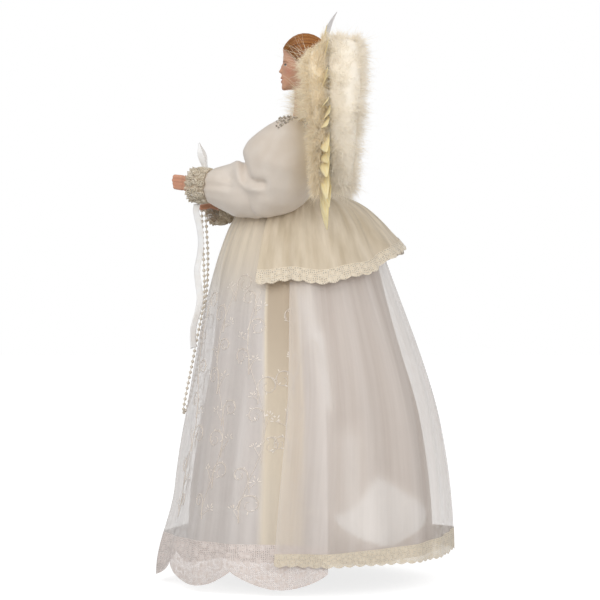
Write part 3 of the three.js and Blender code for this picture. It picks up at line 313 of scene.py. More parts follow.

# %% [markdown]
# The lining is thin white satin over a tan card cone. The light and shade of its pleats and of its flare near
# the hem are painted into its colour: a value stored on the cloth is high for painted highlights and low for
# painted shade, because a pattern on its own would not know where the pleats are.

# %% Lining satin
lining_satin, tree = blank("white_lining_satin")
coords = add(tree, "ShaderNodeTexCoord", {}).outputs
painted_shading = add(tree, "ShaderNodeAttribute", {}, attribute_name="tint").outputs["Fac"]
hang = add(tree, "ShaderNodeMapping", {"Vector": coords["UV"], "Scale": (1, 0.08, 1)}).outputs["Vector"]
slub = add(tree, "ShaderNodeTexNoise", {"Vector": hang, "Scale": per(14), "Detail": 5.0}).outputs["Fac"]
painted_lightness = add(tree, "ShaderNodeMath", {
    0: slub, 1: 0.24, 2: painted_shading}, operation="MULTIPLY_ADD").outputs["Value"]
# Low values give painted shade and high values painted highlights, over the slubbed middle tone.
colour = add(tree, "ShaderNodeValToRGB", {"Fac": painted_lightness}, (
    (0.1, "#C8BAB0"), (0.5, "#DED3CA"), (0.95, "#FBF8F5"))).outputs["Color"]
surface(tree, {"Base Color": colour, "Roughness": 0.45, "Sheen Weight": 0.2}, slub, 0.08, 0.1)
print("lining:", lining_satin.name)

# %% [markdown]
# The front panel is sheer organza too. A value stored on it says how warm it looks: cream towards the top,
# and tan beside the overskirt, a painted shade where the overskirt's edge shades it, which also makes it less
# sheer there.

# %% Organza of the front panel
panel_organza, tree = blank("embroidered_organza")
coords = add(tree, "ShaderNodeTexCoord", {}).outputs
cream_top_and_painted_shade = add(tree, "ShaderNodeAttribute", {}, attribute_name="tint").outputs["Fac"]
# At 1 the tan is painted shade from the overskirt's edge.
colour = add(tree, "ShaderNodeValToRGB", {"Fac": cream_top_and_painted_shade}, (
    (0.0, "#FBF5F1"), (0.5, "#F5E7D0"), (1.0, "#C6B39A"))).outputs["Color"]
hang = add(tree, "ShaderNodeMapping", {"Vector": coords["UV"], "Scale": (1, 0.1, 1)}).outputs["Vector"]
slub = add(tree, "ShaderNodeTexNoise", {"Vector": hang, "Scale": per(9), "Detail": 5.0}).outputs["Fac"]
slub_and_painted_shade = add(tree, "ShaderNodeMath", {0: slub, 1: cream_top_and_painted_shade}, operation="ADD").outputs["Value"]
sheer = add(tree, "ShaderNodeMapRange", {
    "Value": slub_and_painted_shade, "From Min": 0.34, "From Max": 1.2, "To Min": 0.46, "To Max": 0.86}).outputs["Result"]
surface(tree, {"Base Color": colour, "Alpha": sheer, "Roughness": 0.45, "Sheen Weight": 0.3}, slub, 0.1, 0.1)
print("front panel:", panel_organza.name)

# %% [markdown]
# Lace is a net of fine meshes with denser flowers worked into it. Modelling each thread would take millions
# of faces, so the holes are made by transparency: the net's cell walls and the flowers' petals are thread,
# and the rest is clear.

# %% Lace


def lace(name, light, shade, mesh_size, flower_size, clear):
    made, tree = blank(name)
    flat = add(tree, "ShaderNodeTexCoord", {}).outputs["UV"]
    net = add(tree, "ShaderNodeTexVoronoi", {
        "Vector": flat, "Scale": per(mesh_size), "Randomness": 0.55},
        feature="DISTANCE_TO_EDGE", voronoi_dimensions="2D").outputs["Distance"]
    thread = add(tree, "ShaderNodeMapRange", {
        "Value": net, "From Min": 0.1, "From Max": 0.26, "To Min": 1.0, "To Max": clear}).outputs["Result"]
    bloom = add(tree, "ShaderNodeTexVoronoi", {
        "Vector": flat, "Scale": per(flower_size), "Randomness": 0.7},
        feature="F1", voronoi_dimensions="2D").outputs["Distance"]
    wavy = add(tree, "ShaderNodeTexNoise", {
        "Vector": flat, "Scale": per(flower_size * 0.3), "Detail": 2.0}).outputs["Fac"]
    petal = add(tree, "ShaderNodeMath", {0: bloom, 1: wavy}, operation="ADD").outputs["Value"]
    solid = add(tree, "ShaderNodeMapRange", {
        "Value": petal, "From Min": 0.84, "From Max": 0.92, "To Min": 0.96, "To Max": 0.0}).outputs["Result"]
    alpha = add(tree, "ShaderNodeMath", {0: thread, 1: solid}, operation="MAXIMUM").outputs["Value"]
    colour = add(tree, "ShaderNodeValToRGB", {"Fac": wavy}, ((0.3, shade), (0.65, light))).outputs["Color"]
    surface(tree, {"Base Color": colour, "Alpha": alpha, "Roughness": 0.7, "Sheen Weight": 0.2},
            alpha, 0.5, 0.3)
    return made


front_lace = lace("ivory_floral_lace", "#F4E9E3", "#DBCDC5", 1.3, 6.0, 0.56)
hem_lace = lace("cream_edging_lace", "#EBE0CD", "#DCCCB3", 1.3, 4.2, 0.62)
# The cuff lace is painted darker than the rosettes, as painted shade in the gaps between them.
cuff_lace = lace("ivory_cuff_lace", "#D6CAB6", "#BEAE94", 1.2, 3.5, 0.35)
print("laces:", front_lace.name, hem_lace.name, cuff_lace.name)

# %% [markdown]
# Trims and hard pieces are plain in colour with a little unevenness. Silk thread has a faint sheen, crocheted
# cotton is matt and rough, pearls have a clear coat over cream, silvered beads are worn so that dark glass
# shows, ribbon is the whitest and smoothest thing here, and card, felt and wire hardly show.

# %% Thread, pearls, beads, card and wire


def plain(name, light, shade, patch, inputs, grain=None, depth=0.1):
    """A material with patchy colour, and grain of its own size in its bump."""
    made, tree = blank(name)
    place = add(tree, "ShaderNodeTexCoord", {}).outputs["Object"]
    patches = add(tree, "ShaderNodeTexNoise", {
        "Vector": place, "Scale": per(patch), "Detail": 4.0}).outputs["Fac"]
    colour = add(tree, "ShaderNodeValToRGB", {"Fac": patches}, ((0.3, shade), (0.7, light))).outputs["Color"]
    bump = None
    if grain is not None:
        bump = add(tree, "ShaderNodeTexNoise", {
            "Vector": place, "Scale": per(grain), "Detail": 3.0}).outputs["Fac"]
    surface(tree, {"Base Color": colour, **inputs}, bump, 0.3, depth)
    return made


silk = plain("embroidery_silk", "#F4EBE1", "#EDE2D6", 6, {"Roughness": 0.5, "Sheen Weight": 0.3}, 0.5)
crochet = plain("ivory_crochet", "#EAE0CF", "#CFC0A6", 2.5, {
    "Roughness": 0.75, "Sheen Weight": 0.2}, 0.6, 0.3)
pearl = plain("cream_pearls", "#F7EEE0", "#DFD2BF", 3, {"Roughness": 0.22, "Coat Weight": 0.6})
silver = plain("silvered_beads", "#F2EADD", "#75685A", 1.1, {"Roughness": 0.25, "Metallic": 0.3})
ribbon = plain("satin_ribbon", "#FFFFFF", "#FAF6F1", 9, {"Roughness": 0.34, "Sheen Weight": 0.3}, 0.4, 0.05)
card = plain("kraft_card", "#C4B08C", "#A58F69", 5, {"Roughness": 0.9}, 0.7, 0.15)
felt = plain("ivory_felt", "#EFE4CF", "#E0D3BB", 3, {"Roughness": 0.95, "Sheen Weight": 0.4}, 0.6, 0.2)
steel = plain("steel_wire", "#A5A19A", "#6F6B65", 4, {"Roughness": 0.35, "Metallic": 1.0}, 0.5, 0.02)
print("trims:", silk.name, crochet.name, pearl.name, silver.name, ribbon.name)

# %% [markdown]
# Bisque is unglazed porcelain: matt, slightly see-through, its features painted before the last firing.
# The painting is a colour stored on the mesh, with fine speckle over it, so no picture is needed.

# %% Painted bisque
bisque, tree = blank("painted_bisque")
place = add(tree, "ShaderNodeTexCoord", {}).outputs["Object"]
paint = add(tree, "ShaderNodeAttribute", {}, attribute_name="paint").outputs["Color"]
speckle = add(tree, "ShaderNodeTexNoise", {"Vector": place, "Scale": per(1.2), "Detail": 4.0}).outputs["Fac"]
worn = add(tree, "ShaderNodeMix", {
    "Factor": 0.06, "A": paint, "B": speckle}, data_type="RGBA", blend_type="OVERLAY").outputs["Result"]
surface(tree, {"Base Color": worn, "Roughness": 0.5, "Subsurface Weight": 0.08,
               "Subsurface Radius": (0.002, 0.001, 0.0006)}, speckle, 0.1, 0.05)
print("casting:", bisque.name)

# %% [markdown]
# Hair, feathers and marabou take their tint from a value stored on each strand, so no two are alike. Down is
# fully matt, with a sheen where fine barbs catch the light. Hair is smooth enough to shine in streaks.

# %% Hair, feathers and marabou


def strand_material(name, dark, middle, light, inputs, streak):
    """Strands tinted by their stored value, with fine streaks of a given size over them."""
    made, tree = blank(name)
    place = add(tree, "ShaderNodeTexCoord", {}).outputs["Object"]
    stored = add(tree, "ShaderNodeAttribute", {}, attribute_name="tint").outputs["Fac"]
    fine = add(tree, "ShaderNodeTexNoise", {
        "Vector": place, "Scale": per(streak), "Detail": 3.0}).outputs["Fac"]
    both = add(tree, "ShaderNodeMix", {0: 0.35, 2: stored, 3: fine}).outputs[0]
    colour = add(tree, "ShaderNodeValToRGB", {"Fac": both}, (
        (0.15, dark), (0.5, middle), (0.85, light))).outputs["Color"]
    surface(tree, {"Base Color": colour, **inputs}, fine, 0.2, 0.08)
    return made


PLUME = {"Roughness": 0.6, "Sheen Weight": 0.3}
DOWN = {"Roughness": 0.9, "Sheen Weight": 0.6}
hair = strand_material("auburn_hair", "#623612", "#955C27", "#BD8747", {"Roughness": 0.33}, 1.0)
feather = strand_material("cream_feather", "#F2D88A", "#FDEBB2", "#FFF5D4", PLUME, 0.8)
pale_feather = strand_material("pale_grey_feather", "#CFCBC9", "#DEDAD8", "#E9E6E4", {"Roughness": 0.6}, 0.8)
front_down = strand_material("cream_marabou", "#F0DAAE", "#FCEAC9", "#FFF6E2", DOWN, 9)
back_down = strand_material("white_marabou", "#F3E6D0", "#FAF0DE", "#FFF8EC", DOWN, 9)
print(len(bpy.data.materials), "materials")

# %% [markdown]
# ## Pearl strand and ribbon streamer
# The right hand holds a loop of strung pearls and the left cuff's ribbon has one long tail. Both hang
# straight down and lie out over the gown where it swells. A rope simulation could hang them, but the
# photograph shows their routes, so each is a row of places joined by a smooth curve. Pearls are copies of one
# small ball, merged into one mesh. These are the free cords, so they come first.

# %% Routes, threads and copies
CURVE_PIECES = 16


def curve_through(points, step):
    """Evenly spaced points along a smooth curve through the given ones."""
    knots = np.asarray(points, float)
    knots = np.vstack([2 * knots[0] - knots[1], knots, 2 * knots[-1] - knots[-2]])
    t = np.linspace(0, 1, CURVE_PIECES, endpoint=False)[:, None]
    fine = []
    for a, b, c, d in zip(knots, knots[1:], knots[2:], knots[3:]):
        fine.append(b + 0.5 * t * (c - a + t * (2 * a - 5 * b + 4 * c - d + t * (3 * (b - c) + d - a))))
    fine = np.vstack([*fine, knots[-2]])
    reach = np.concatenate([[0], np.cumsum(np.linalg.norm(np.diff(fine, axis=0), axis=1))])
    spots = np.linspace(0, reach[-1], round(reach[-1] / step) + 1)
    return np.stack([np.interp(spots, reach, fine[:, k]) for k in range(3)], axis=1)


def threads(name, paths, radius, taper=None, round_by=1):
    """Round threads along many paths, as one mesh: taper(t) thins a thread along its length."""
    line = bpy.data.curves.new(name, "CURVE")
    line.dimensions = "3D"
    line.bevel_depth = radius * MM
    line.bevel_resolution = round_by
    line.use_fill_caps = True
    for path in paths:
        spline = line.splines.new("POLY")
        spline.points.add(len(path) - 1)
        flat = np.column_stack([np.asarray(path) * MM, np.ones(len(path))])
        spline.points.foreach_set("co", flat.ravel())
        if taper is not None:
            spline.points.foreach_set("radius", taper(np.linspace(0, 1, len(path))))
    piece = bpy.data.objects.new(name, line)
    bpy.context.collection.objects.link(piece)
    bpy.ops.object.select_all(action="DESELECT")
    piece.select_set(True)
    bpy.context.view_layer.objects.active = piece
    bpy.ops.object.convert(target="MESH")
    piece = bpy.context.object
    piece.data.shade_smooth()
    return piece


def template(piece):
    """The points and faces of a piece that only serves as a pattern."""
    points = get_points(piece)
    faces = [list(face.vertices) for face in piece.data.polygons]
    bpy.data.objects.remove(piece)
    return points, faces


def copies(points, faces, frames):
    """One mesh of many placed templates: each frame is (origin, 3x3 axes as rows, scale)."""
    points = np.asarray(points, float)
    all_points, all_faces = [], []
    for k, (origin, axes, scale) in enumerate(frames):
        all_points.append(np.asarray(origin) + scale * points @ np.asarray(axes))
        all_faces.extend([[v + k * len(points) for v in face] for face in faces])
    return np.concatenate(all_points), all_faces


print("10 mm in steps of 2 mm:", len(curve_through([[0, 0, 0], [0, 0, 10]], 2)), "points")

# %% Pearl loop
SHOULDER = np.array([0, 2, 282])
PEARL_ROUTE = SHOULDER + np.array([
    [-6, -71, -51], [-6.5, -70.7, -67], [-8, -70, -82], [-9, -69.6, -94], [-11, -69.4, -106],
    [-12.5, -71, -122], [-13, -74.6, -140], [-12.5, -78, -158], [-11.5, -81.4, -175], [-12.5, -84, -189],
    [-17, -84, -193.5], [-22, -81.5, -188], [-25, -78, -174], [-25, -74.5, -156], [-23, -71.4, -136],
    [-19.5, -69, -116], [-15, -67.4, -98], [-12, -67, -82], [-9.5, -67.6, -68], [-8, -68.5, -50.6]])
BEAD_R = 1.2
BEAD_PITCH = 3.85

strand_path = curve_through(PEARL_ROUTE, 0.6)
bead_points, bead_faces = template(ball("bead", 10, 6, BEAD_R))
bead_spots = curve_through(PEARL_ROUTE, BEAD_PITCH)
beads = mesh_piece("beads", *copies(bead_points, bead_faces, [(p, np.eye(3), 1) for p in bead_spots]))
strand = joined("pearl_loop", threads("strand_thread", [strand_path], 0.3), beads)
dress(strand, "right_pearls", "beads", pearl, "pearl_strand")

# %% Ribbon streamer
STREAMER_ROUTE = SHOULDER + np.array([
    [13, -73.5, -47.1], [13, -74, -53], [13, -71.8, -63], [13, -70.8, -73], [13, -71.6, -83],
    [13.5, -73.4, -93], [14, -72.4, -103], [14, -71.4, -112], [14, -72.6, -121], [14, -75.4, -131],
    [14, -76.2, -139], [14, -75.8, -147]])
RIBBON_WIDTH = 4.5
RIBBON_THICK = 0.25

tail_path = curve_through(STREAMER_ROUTE, 1.0)
tail_turn = 0.5 * np.sin(np.linspace(0, 5, len(tail_path)))
tail_across = np.stack([np.sin(tail_turn), np.cos(tail_turn), 0 * tail_turn], axis=1)


def tail_place(u, v):
    """Along the tail from its cut end up, with a slanted cut."""
    spot = (1 - v) * (len(tail_path) - 1) - 1.5 * (u - 0.5) * (v < 0.02)
    low = np.clip(spot.astype(int), 0, len(tail_path) - 2)
    share = (spot - low)[:, None]
    middle = mix(tail_path[low], tail_path[low + 1], share)
    across = mix(tail_across[low], tail_across[low + 1], share)
    return middle + RIBBON_WIDTH * (u - 0.5)[:, None] * across


tail = cloth_grid("ribbon_tail", 6, 100, tail_place, (RIBBON_WIDTH, 101))
modify(tail, "SOLIDIFY", thickness=RIBBON_THICK * MM, offset=0)
dress(tail, "left_streamer", "satin", ribbon, "ribbon_streamer")

# %% [markdown]
# ## Gown
# One shape carries all the layers. It swells quickly below the waist, falls to the hem, hangs a little
# further out behind than in front, and is pressed in at the sides under the sleeves. Layers draped one by one
# would cut through each other, so they share the long folds and differ by an offset, and nest inside one
# another as sewn layers do.

# %% Shape of the gown
WAIST_Z = 243.0
GOWN_LENGTH = 250.0


def gown_radius(drop):
    return (16.2 + 24 * (1 - np.exp(-drop / 8))
            + 52.8 * np.sin(np.pi / 2 * np.minimum(1.15, drop / GOWN_LENGTH)))


def gown_back(drop):
    """How far back the gown's middle lies."""
    return 8 * ease(drop, 37.5, 162.5)


def folds(angle, drop):
    """Broad folds that deepen to the hem, softer ones between them, and gathers at the waist."""
    broad = 0.5 * np.sin(8 * angle + 0.6) + 0.3 * np.sin(11 * angle + 2.1) + 0.2 * np.sin(5 * angle + 4)
    soft = np.sin(19 * angle + 1.1 + 0.5 * np.sin(3 * angle + drop / 60))
    gather = np.sin(46 * angle + 2 * np.sin(5 * angle)) + 0.5 * np.sin(71 * angle + drop / 15)
    return (4.5 * ease(drop, 25, 275) * broad + 0.9 * ease(drop, 10, 200) * soft
            + 0.55 * np.exp(-drop / 30) * ease(drop, 0, 4) * gather)


def gown(angle, drop, offset, folded=1.0):
    """Places on the gown: angle goes round from its front, drop goes down from the waist."""
    radius = gown_radius(drop) + offset + folded * folds(angle, drop)
    squeeze = 1 - 0.2 * ease(drop, 0, 6) * hump(drop, 0, 40)
    x, y = radius * np.sin(angle) * squeeze, gown_back(drop) - radius * np.cos(angle)
    return np.stack([x, y, WAIST_Z - drop], axis=-1)


def round_gown(points):
    """How far down points lie, and how many degrees round from the front, the same on both sides."""
    drop = WAIST_Z - points[:, 2]
    return drop, np.degrees(np.arctan2(np.abs(points[:, 0]), gown_back(drop) - points[:, 1]))


print("hem's radius in mm:", round(float(gown_radius(GOWN_LENGTH)), 1))

# %% [markdown]
# The lining is white satin, set in from the sheer cloth. It has a few pleats at the sides, and near the hem
# it flares out there. The pleats are too flat to model, so their light and shade are painted: a value stored
# on the cloth, which its material reads, is raised for painted highlights on the pleats and on a patch of the
# flare near the hem, and lowered for painted shade on one pleat.

# %% Satin lining
LINING_DROP = 249


def lining_place(u, v):
    angle = 2 * np.pi * u
    drop = LINING_DROP * (1 - v)
    wave = 2.4 * ease(drop, 20, 250) * (np.sin(7 * angle + 0.4) + 0.6 * np.sin(12 * angle + 1.9))
    from_side = np.degrees(np.abs(np.abs(angle - np.pi) - math.radians(66)))
    flare = 9 * hump(from_side, 0, 20) * ease(drop, 190, 234)
    return gown(angle, drop, 0.4 + wave + flare - 10 * ease(drop, 10, 125), 0.2)


lining = cloth_grid("lining_skirt", 240, 120, lining_place, (560, LINING_DROP))
print("lining:", len(lining.data.vertices), "points")

# %% Painted light and shade of the lining
# Each pleat is (degrees round, width, top, bottom, how much lighter it is painted; below zero, painted
# shade).
PAINTED_PLEAT_SHADING = ((92, 7, 40, 95, 0.7), (99, 4, 85, 140, 0.65), (109, 9, 150, 225, 0.4), (106, 6, 40, 150, -0.2))
UNPAINTED_LEVEL = 0.12

drop, turn = round_gown(get_points(lining))
# Painted highlights on the pleats, and painted shade on one of them, over a plain level.
white = np.full(len(drop), UNPAINTED_LEVEL)
for at, wide, top, bottom, share in PAINTED_PLEAT_SHADING:
    white += share * hump(turn, at, wide) * ease(drop, top, top + 20) * ease(drop, bottom + 20, bottom)
# A patch of the flare near the hem, between these heights, is painted lighter as a painted highlight.
painted_hem_highlight_top = np.interp(
    turn, [98, 104, 111, 117, 123, 132, 145, 164], [217, 214, 206, 197, 192, 196, 206, 221])
painted_hem_highlight_bottom = np.interp(
    turn, [98, 104, 110, 118, 126, 135, 145, 155, 164], [217, 226, 232, 237, 239, 238, 234, 228, 221])
painted_hem_highlight = ease(drop, painted_hem_highlight_top - 9, painted_hem_highlight_top + 10) * ease(drop, painted_hem_highlight_bottom + 1.5, painted_hem_highlight_bottom - 1.5)
set_tint(lining, np.clip(np.maximum(white, painted_hem_highlight), 0, 1))
dress(lining, "figure", "satin", lining_satin, "satin_underskirt")

# %% [markdown]
# The front panel is embroidered organza, sewn under the overskirt at the sides. Its lower edge kicks
# forward and is finished with a wide scalloped lace. The lace is a sheet of its own on the same shape, so
# that it can have its own net and its own cut edge.

# %% Front panel
PANEL_HALF = math.radians(96)
PANEL_DROP = 236.0


def panel(angle, drop, lift=0.0):
    kick = 11 * ease(drop, 205, 266) * np.maximum(0, np.cos(angle)) ** 2
    return gown(angle, drop, 2.4 + lift + kick)


def panel_place(u, v):
    return panel(mix(-PANEL_HALF, PANEL_HALF, u), PANEL_DROP * (1 - v) ** 1.25)


front = cloth_grid("organza_front_panel", 220, 110, panel_place, (300, PANEL_DROP))
drop, turn = round_gown(get_points(front))
# Painted shade beside the overskirt's edge, weaker lower down, over a cream tint at the top.
painted_shading = ease(turn, 66, 70) * ease(turn, 88, 85) * (1 - 0.55 * ease(drop, 60, 215))
set_tint(front, np.maximum(0.5 * ease(drop, 95, 35), painted_shading))
dress(front, "figure", "organza", panel_organza, "front_panel")

# %% Scalloped lace of the front panel
SCALLOPS = 5
LACE_DEPTH = 30
LOBE_DEPTH = 12


def scallop(u):
    """How far each place of the lace reaches below the panel: round lobes that meet in points."""
    return LACE_DEPTH + LOBE_DEPTH * (np.abs(np.sin(np.pi * SCALLOPS * u)) ** 0.8 - 1)


def front_lace_place(u, v):
    ripple = 0.5 * np.sin(60 * u) * (1 - v)
    return panel(mix(-PANEL_HALF, PANEL_HALF, u), PANEL_DROP + scallop(u) * (1 - v), ripple)


front_hem = cloth_grid("scalloped_front_lace", 300, 16, front_lace_place, (310, LACE_DEPTH))
dress(front_hem, "figure", "lace", front_lace, "front_lace_hem")

# %% [markdown]
# ## Embroidery
# Fine vines climb the panel in white silk. Each is a bent stem with scrolls to left and right, worked in two
# threads, small leaves along them and a spray of slim leaves across from each. A picture on the cloth could
# show it, but silk stands a little proud and catches the light, so stems are thin threads and leaves are
# small domed shapes. The threads are drawn about twice as thick as silk, so that they show.

# %% Drawing on the panel
LEAF = np.array([[0, 0], [0.35, 0.13], [0.75, 0.16], [1, 0], [0.75, -0.16], [0.35, -0.13], [0.5, 0]])
LEAF_FACES = [[0, 6, 1], [1, 6, 2], [2, 6, 3], [3, 6, 4], [4, 6, 5], [5, 6, 0]]
LEAF_RISE = np.array([0.15] * 6 + [0.35])
STITCH_LIFT = 0.2


def on_panel(angle, drop, x, y, lift):
    """A drawing in millimetres laid on the panel round a place."""
    return panel(angle + x / gown_radius(drop), drop - y, lift)


def stitched(spots):
    """Leaves: each spot is (angle, drop, x, y, length, direction)."""
    points, faces = [], []
    for angle, drop, x, y, length, way in spots:
        along = np.array([math.cos(way), math.sin(way)])
        flat = length * (LEAF[:, :1] * along + LEAF[:, 1:] * [-along[1], along[0]])
        start = len(LEAF) * len(points)
        points.append(on_panel(angle, drop, x + flat[:, 0], y + flat[:, 1], LEAF_RISE))
        faces.extend([[v + start for v in face] for face in LEAF_FACES])
    return np.concatenate(points), faces


def stem_sway(drop, phase):
    return 7 * np.sin(drop / 19 + phase)


print("a leaf has", len(LEAF), "points")

# %% Vines, scrolls and leaves
VINE_TURNS = (-83, -64, -43, -20, 20, 43, 64, 83)

stem_paths, leaf_spots = [], []
for k, turn in enumerate(VINE_TURNS):
    angle, side = math.radians(turn), 1 if k % 2 else -1
    low, high = chance.uniform(216, 226), chance.uniform(64, 84)
    phase = chance.uniform(0, 6)
    drops = np.arange(low, high, -3.0)
    stem_paths.append(on_panel(angle, drops, stem_sway(drops, phase), 0, STITCH_LIFT))
    for drop in np.arange(low - 6, high, -chance.uniform(19, 23)):
        side = -side
        x = stem_sway(drop, phase)
        turns = np.linspace(-0.5 * np.pi, 1.9 * np.pi, 24)
        radius = chance.uniform(5.0, 7.2) * np.linspace(1, 0.3, 24)
        scroll = np.stack([x + side * (6.5 + radius * np.sin(turns)), 3 + radius * np.cos(turns)], axis=1)
        curl = np.vstack([np.linspace([x, -9], scroll[0], 5)[:-1], scroll])
        second = curl[:16] + [0.5, 0.4]
        stem_paths.append(on_panel(angle, drop, *curl.T, STITCH_LIFT))
        stem_paths.append(on_panel(angle, drop, *second.T, STITCH_LIFT))
        for spot in curl[4:22:3]:
            leaf_spots.append((angle, drop, *spot, chance.uniform(1.6, 2.8), chance.uniform(0, 6.28)))
        spray = np.array([x - side * chance.uniform(3, 7), chance.uniform(-6, 4)])
        stem_paths.append(on_panel(angle, drop, *np.linspace([x, -6], spray, 5).T, STITCH_LIFT))
        for way in np.linspace(0.1, 3.0, 6) + chance.uniform(-0.3, 0.3, 6):
            start = spray + chance.uniform(0.5, 2.5) * np.array([math.cos(way), math.sin(way)])
            leaf_spots.append((angle, drop, *start, chance.uniform(1.8, 3.0), way))
stems = threads("stems", stem_paths, 0.2, round_by=0)
sprigs = mesh_piece("sprigs", *stitched(leaf_spots))
embroidery = joined("panel_embroidery", stems, sprigs)
dress(embroidery, "figure", "lace", silk)
print(len(stem_paths), "threads and", len(leaf_spots), "leaves")

# %% [markdown]
# ## Overskirt
# Plain organza, open in front, with its edges lifting off the panel and a cream lace at its hem, deepest
# behind. It is the gown's shape again with a larger offset, and the lift at its edges keeps the two sheer
# layers apart where they overlap.

# %% Overskirt and its lace
SKIRT_DROP = 243


def overskirt(u, drop, lift=0.0):
    edge = np.radians(mix(86.0, 75.0, drop / GOWN_LENGTH))
    from_edge = np.minimum(u, 1 - u) * (2 * np.pi - 2.8)
    raised = 3.2 * hump(from_edge, 0, 0.1) * ease(drop, 30, 120)
    return gown(mix(edge, 2 * np.pi - edge, u), drop, 4.4 + lift + raised)


def skirt_place(u, v):
    return overskirt(u, SKIRT_DROP * (1 - v) ** 1.25)


def skirt_lace_place(u, v):
    top = 241.5 - 6.5 * np.sin(np.pi * u) ** 2
    hem = 249.0 + 1.3 * np.abs(np.sin(46 * np.pi * u))
    return overskirt(u, mix(hem, top, v), 0.3)


overskirt_piece = cloth_grid("organza_overskirt", 260, 110, skirt_place, (400, SKIRT_DROP))
dress(overskirt_piece, "figure", "organza", organza, "overskirt")
skirt_lace = cloth_grid("overskirt_edging", 368, 10, skirt_lace_place, (430, 13))
dress(skirt_lace, "figure", "lace", hem_lace, "overskirt_lace_hem")

# %% [markdown]
# ## Peplum
# A short cream frill over the hips, longest at the sides and standing out behind, edged with lace. Chiffon
# crumples rather than folds, so uneven ruffles are mixed with small creases that cross them. Even waves
# would look like pleated paper.

# %% Peplum and its lace


def peplum(u, along, lift=0.0):
    angle = np.radians(mix(64.0, 296.0, u))
    rear = np.abs(angle - np.pi)
    low = np.maximum(along, 0)
    hem = mix(37.0, 62.0, ease(rear, 0, math.radians(75))) + 1.2 * np.sin(11 * angle + 1)
    flare = mix(2.0, 15.0, 1 - ease(rear, 0, math.radians(85))) * low ** 1.4
    wander = angle + 0.05 * np.sin(7 * angle + 1) + 0.03 * np.sin(2.5 * angle + 3 * along)
    uneven = 0.8 + 0.5 * np.sin(3.3 * angle + 0.4) * np.sin(1.7 * angle + 2)
    ruffle = (1.5 * np.sin(17 * wander + 0.8) + 0.6 * np.sin(29 * wander + 2)) * uneven * low ** 1.5
    ruffle = ruffle + 1.5 * np.sin(9 * wander + 2.2) * low ** 1.6
    crumple = (np.sin(21 * angle + 6 * along) * np.sin(11 * along - 13 * angle + 1)
               + 0.6 * np.sin(31 * angle - 14 * along))
    ruffle = ruffle + 0.8 * crumple * low * (1.1 - along)
    return gown(angle, hem * along, 6.6 + lift + flare + ruffle)


def peplum_place(u, v):
    return peplum(u, 0.88 * (1 - v) ** 1.3)


def peplum_lace_place(u, v):
    return peplum(u, mix(0.86, 1.0 + 0.02 * np.abs(np.sin(34 * np.pi * u)), 1 - v), 0.4)


frill = cloth_grid("chiffon_peplum", 240, 50, peplum_place, (230, 55))
dress(frill, "figure", "chiffon", chiffon, "peplum")
frill_lace = cloth_grid("peplum_edging", 272, 8, peplum_lace_place, (250, 9))
dress(frill_lace, "figure", "lace", hem_lace, "peplum_lace_hem")

# %% [markdown]
# ## Body, bodice and waistband
# The body is a stuffed calico form on the cone. It has the CAD shape already, so a copy of that is remeshed
# and smoothed until it looks stuffed. The bodice is satin pulled over it, cut on a slant from the throat up
# to the nape, with round armholes. It follows a table of the figure's sections, because cloth under tension
# shows the body's form with only faint pulls. A rolled satin band hides the gathered waist.

# %% Torso


def softened(node, voxel, passes):
    """A copy of a CAD piece with its facets worn round."""
    copy = bpy.data.objects.new(node + "_soft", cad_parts[node].data.copy())
    bpy.context.collection.objects.link(copy)
    weld(copy)
    modify(copy, "REMESH", mode="VOXEL", voxel_size=voxel * MM)
    modify(copy, "SMOOTH", factor=0.5, iterations=passes)
    copy.data.shade_smooth()
    return copy


torso = dress(softened("torso", 0.9, 8), "figure", "calico", calico, "torso")

# %% Bodice
# Each section of the figure is (height, half width, half depth, y of its middle).
FIGURE = np.array([
    [243, 14.5, 14.5, 0], [256, 16.2, 15, -1], [266, 17.8, 16, -2.3], [282, 19.2, 12, 2],
    [286, 18.6, 11.5, 2.8], [290.5, 14.56, 10.4, 4], [295, 9.6, 8.6, 2.5], [300, 7.6, 7.6, 3],
    [323.3, 7.6, 7.6, 4]])
NECK_Z = 289.5
ARMHOLE = SHOULDER + [20, 0, 0]
ARMHOLE_R = 8.8


def figure(turn, z, grow):
    wide, deep, y = (np.interp(z, FIGURE[:, 0], FIGURE[:, k]) for k in (1, 2, 3))
    return np.stack([(wide + grow) * np.sin(turn), y - (deep + grow) * np.cos(turn), z], axis=-1)


def neckline(turn, grow):
    """The height where the slanted neckline meets the figure, found by closing in on it."""
    z = np.full_like(turn, NECK_Z)
    for _ in range(14):
        z = NECK_Z + 0.5 * (figure(turn, z, grow)[..., 1] + 10)
    return z


def bodice_place(u, v):
    turn = 2 * np.pi * u
    z = mix(WAIST_Z, neckline(turn, 0.7), v)
    pull = 0.25 * np.sin(30 * turn) * np.exp(-v * 6) + 0.2 * np.sin(14 * turn + 9 * v) * v * (1 - v)
    return figure(turn, z, 0.75 + pull)


def in_armhole(points):
    return (np.abs(points[:, 0]) > 9) & (np.hypot(*(points[:, 1:] - ARMHOLE[1:]).T) < ARMHOLE_R)


def trim(piece, goes):
    """Deletes the faces whose middles answer True to goes(points)."""
    work = bmesh.new()
    work.from_mesh(piece.data)
    middles = np.array([face.calc_center_median() for face in work.faces]) / MM
    doomed = [face for face, gone in zip(list(work.faces), goes(middles)) if gone]
    bmesh.ops.delete(work, geom=doomed, context="FACES")
    work.to_mesh(piece.data)
    work.free()


bodice = cloth_grid("satin_bodice", 120, 50, bodice_place, (120, 52))
trim(bodice, in_armhole)
modify(bodice, "SOLIDIFY", thickness=0.5 * MM, offset=0)
dress(bodice, "figure", "satin", satin, "bodice")

# %% Waistband
BAND_R = 20.3
BAND_Z = 245.9


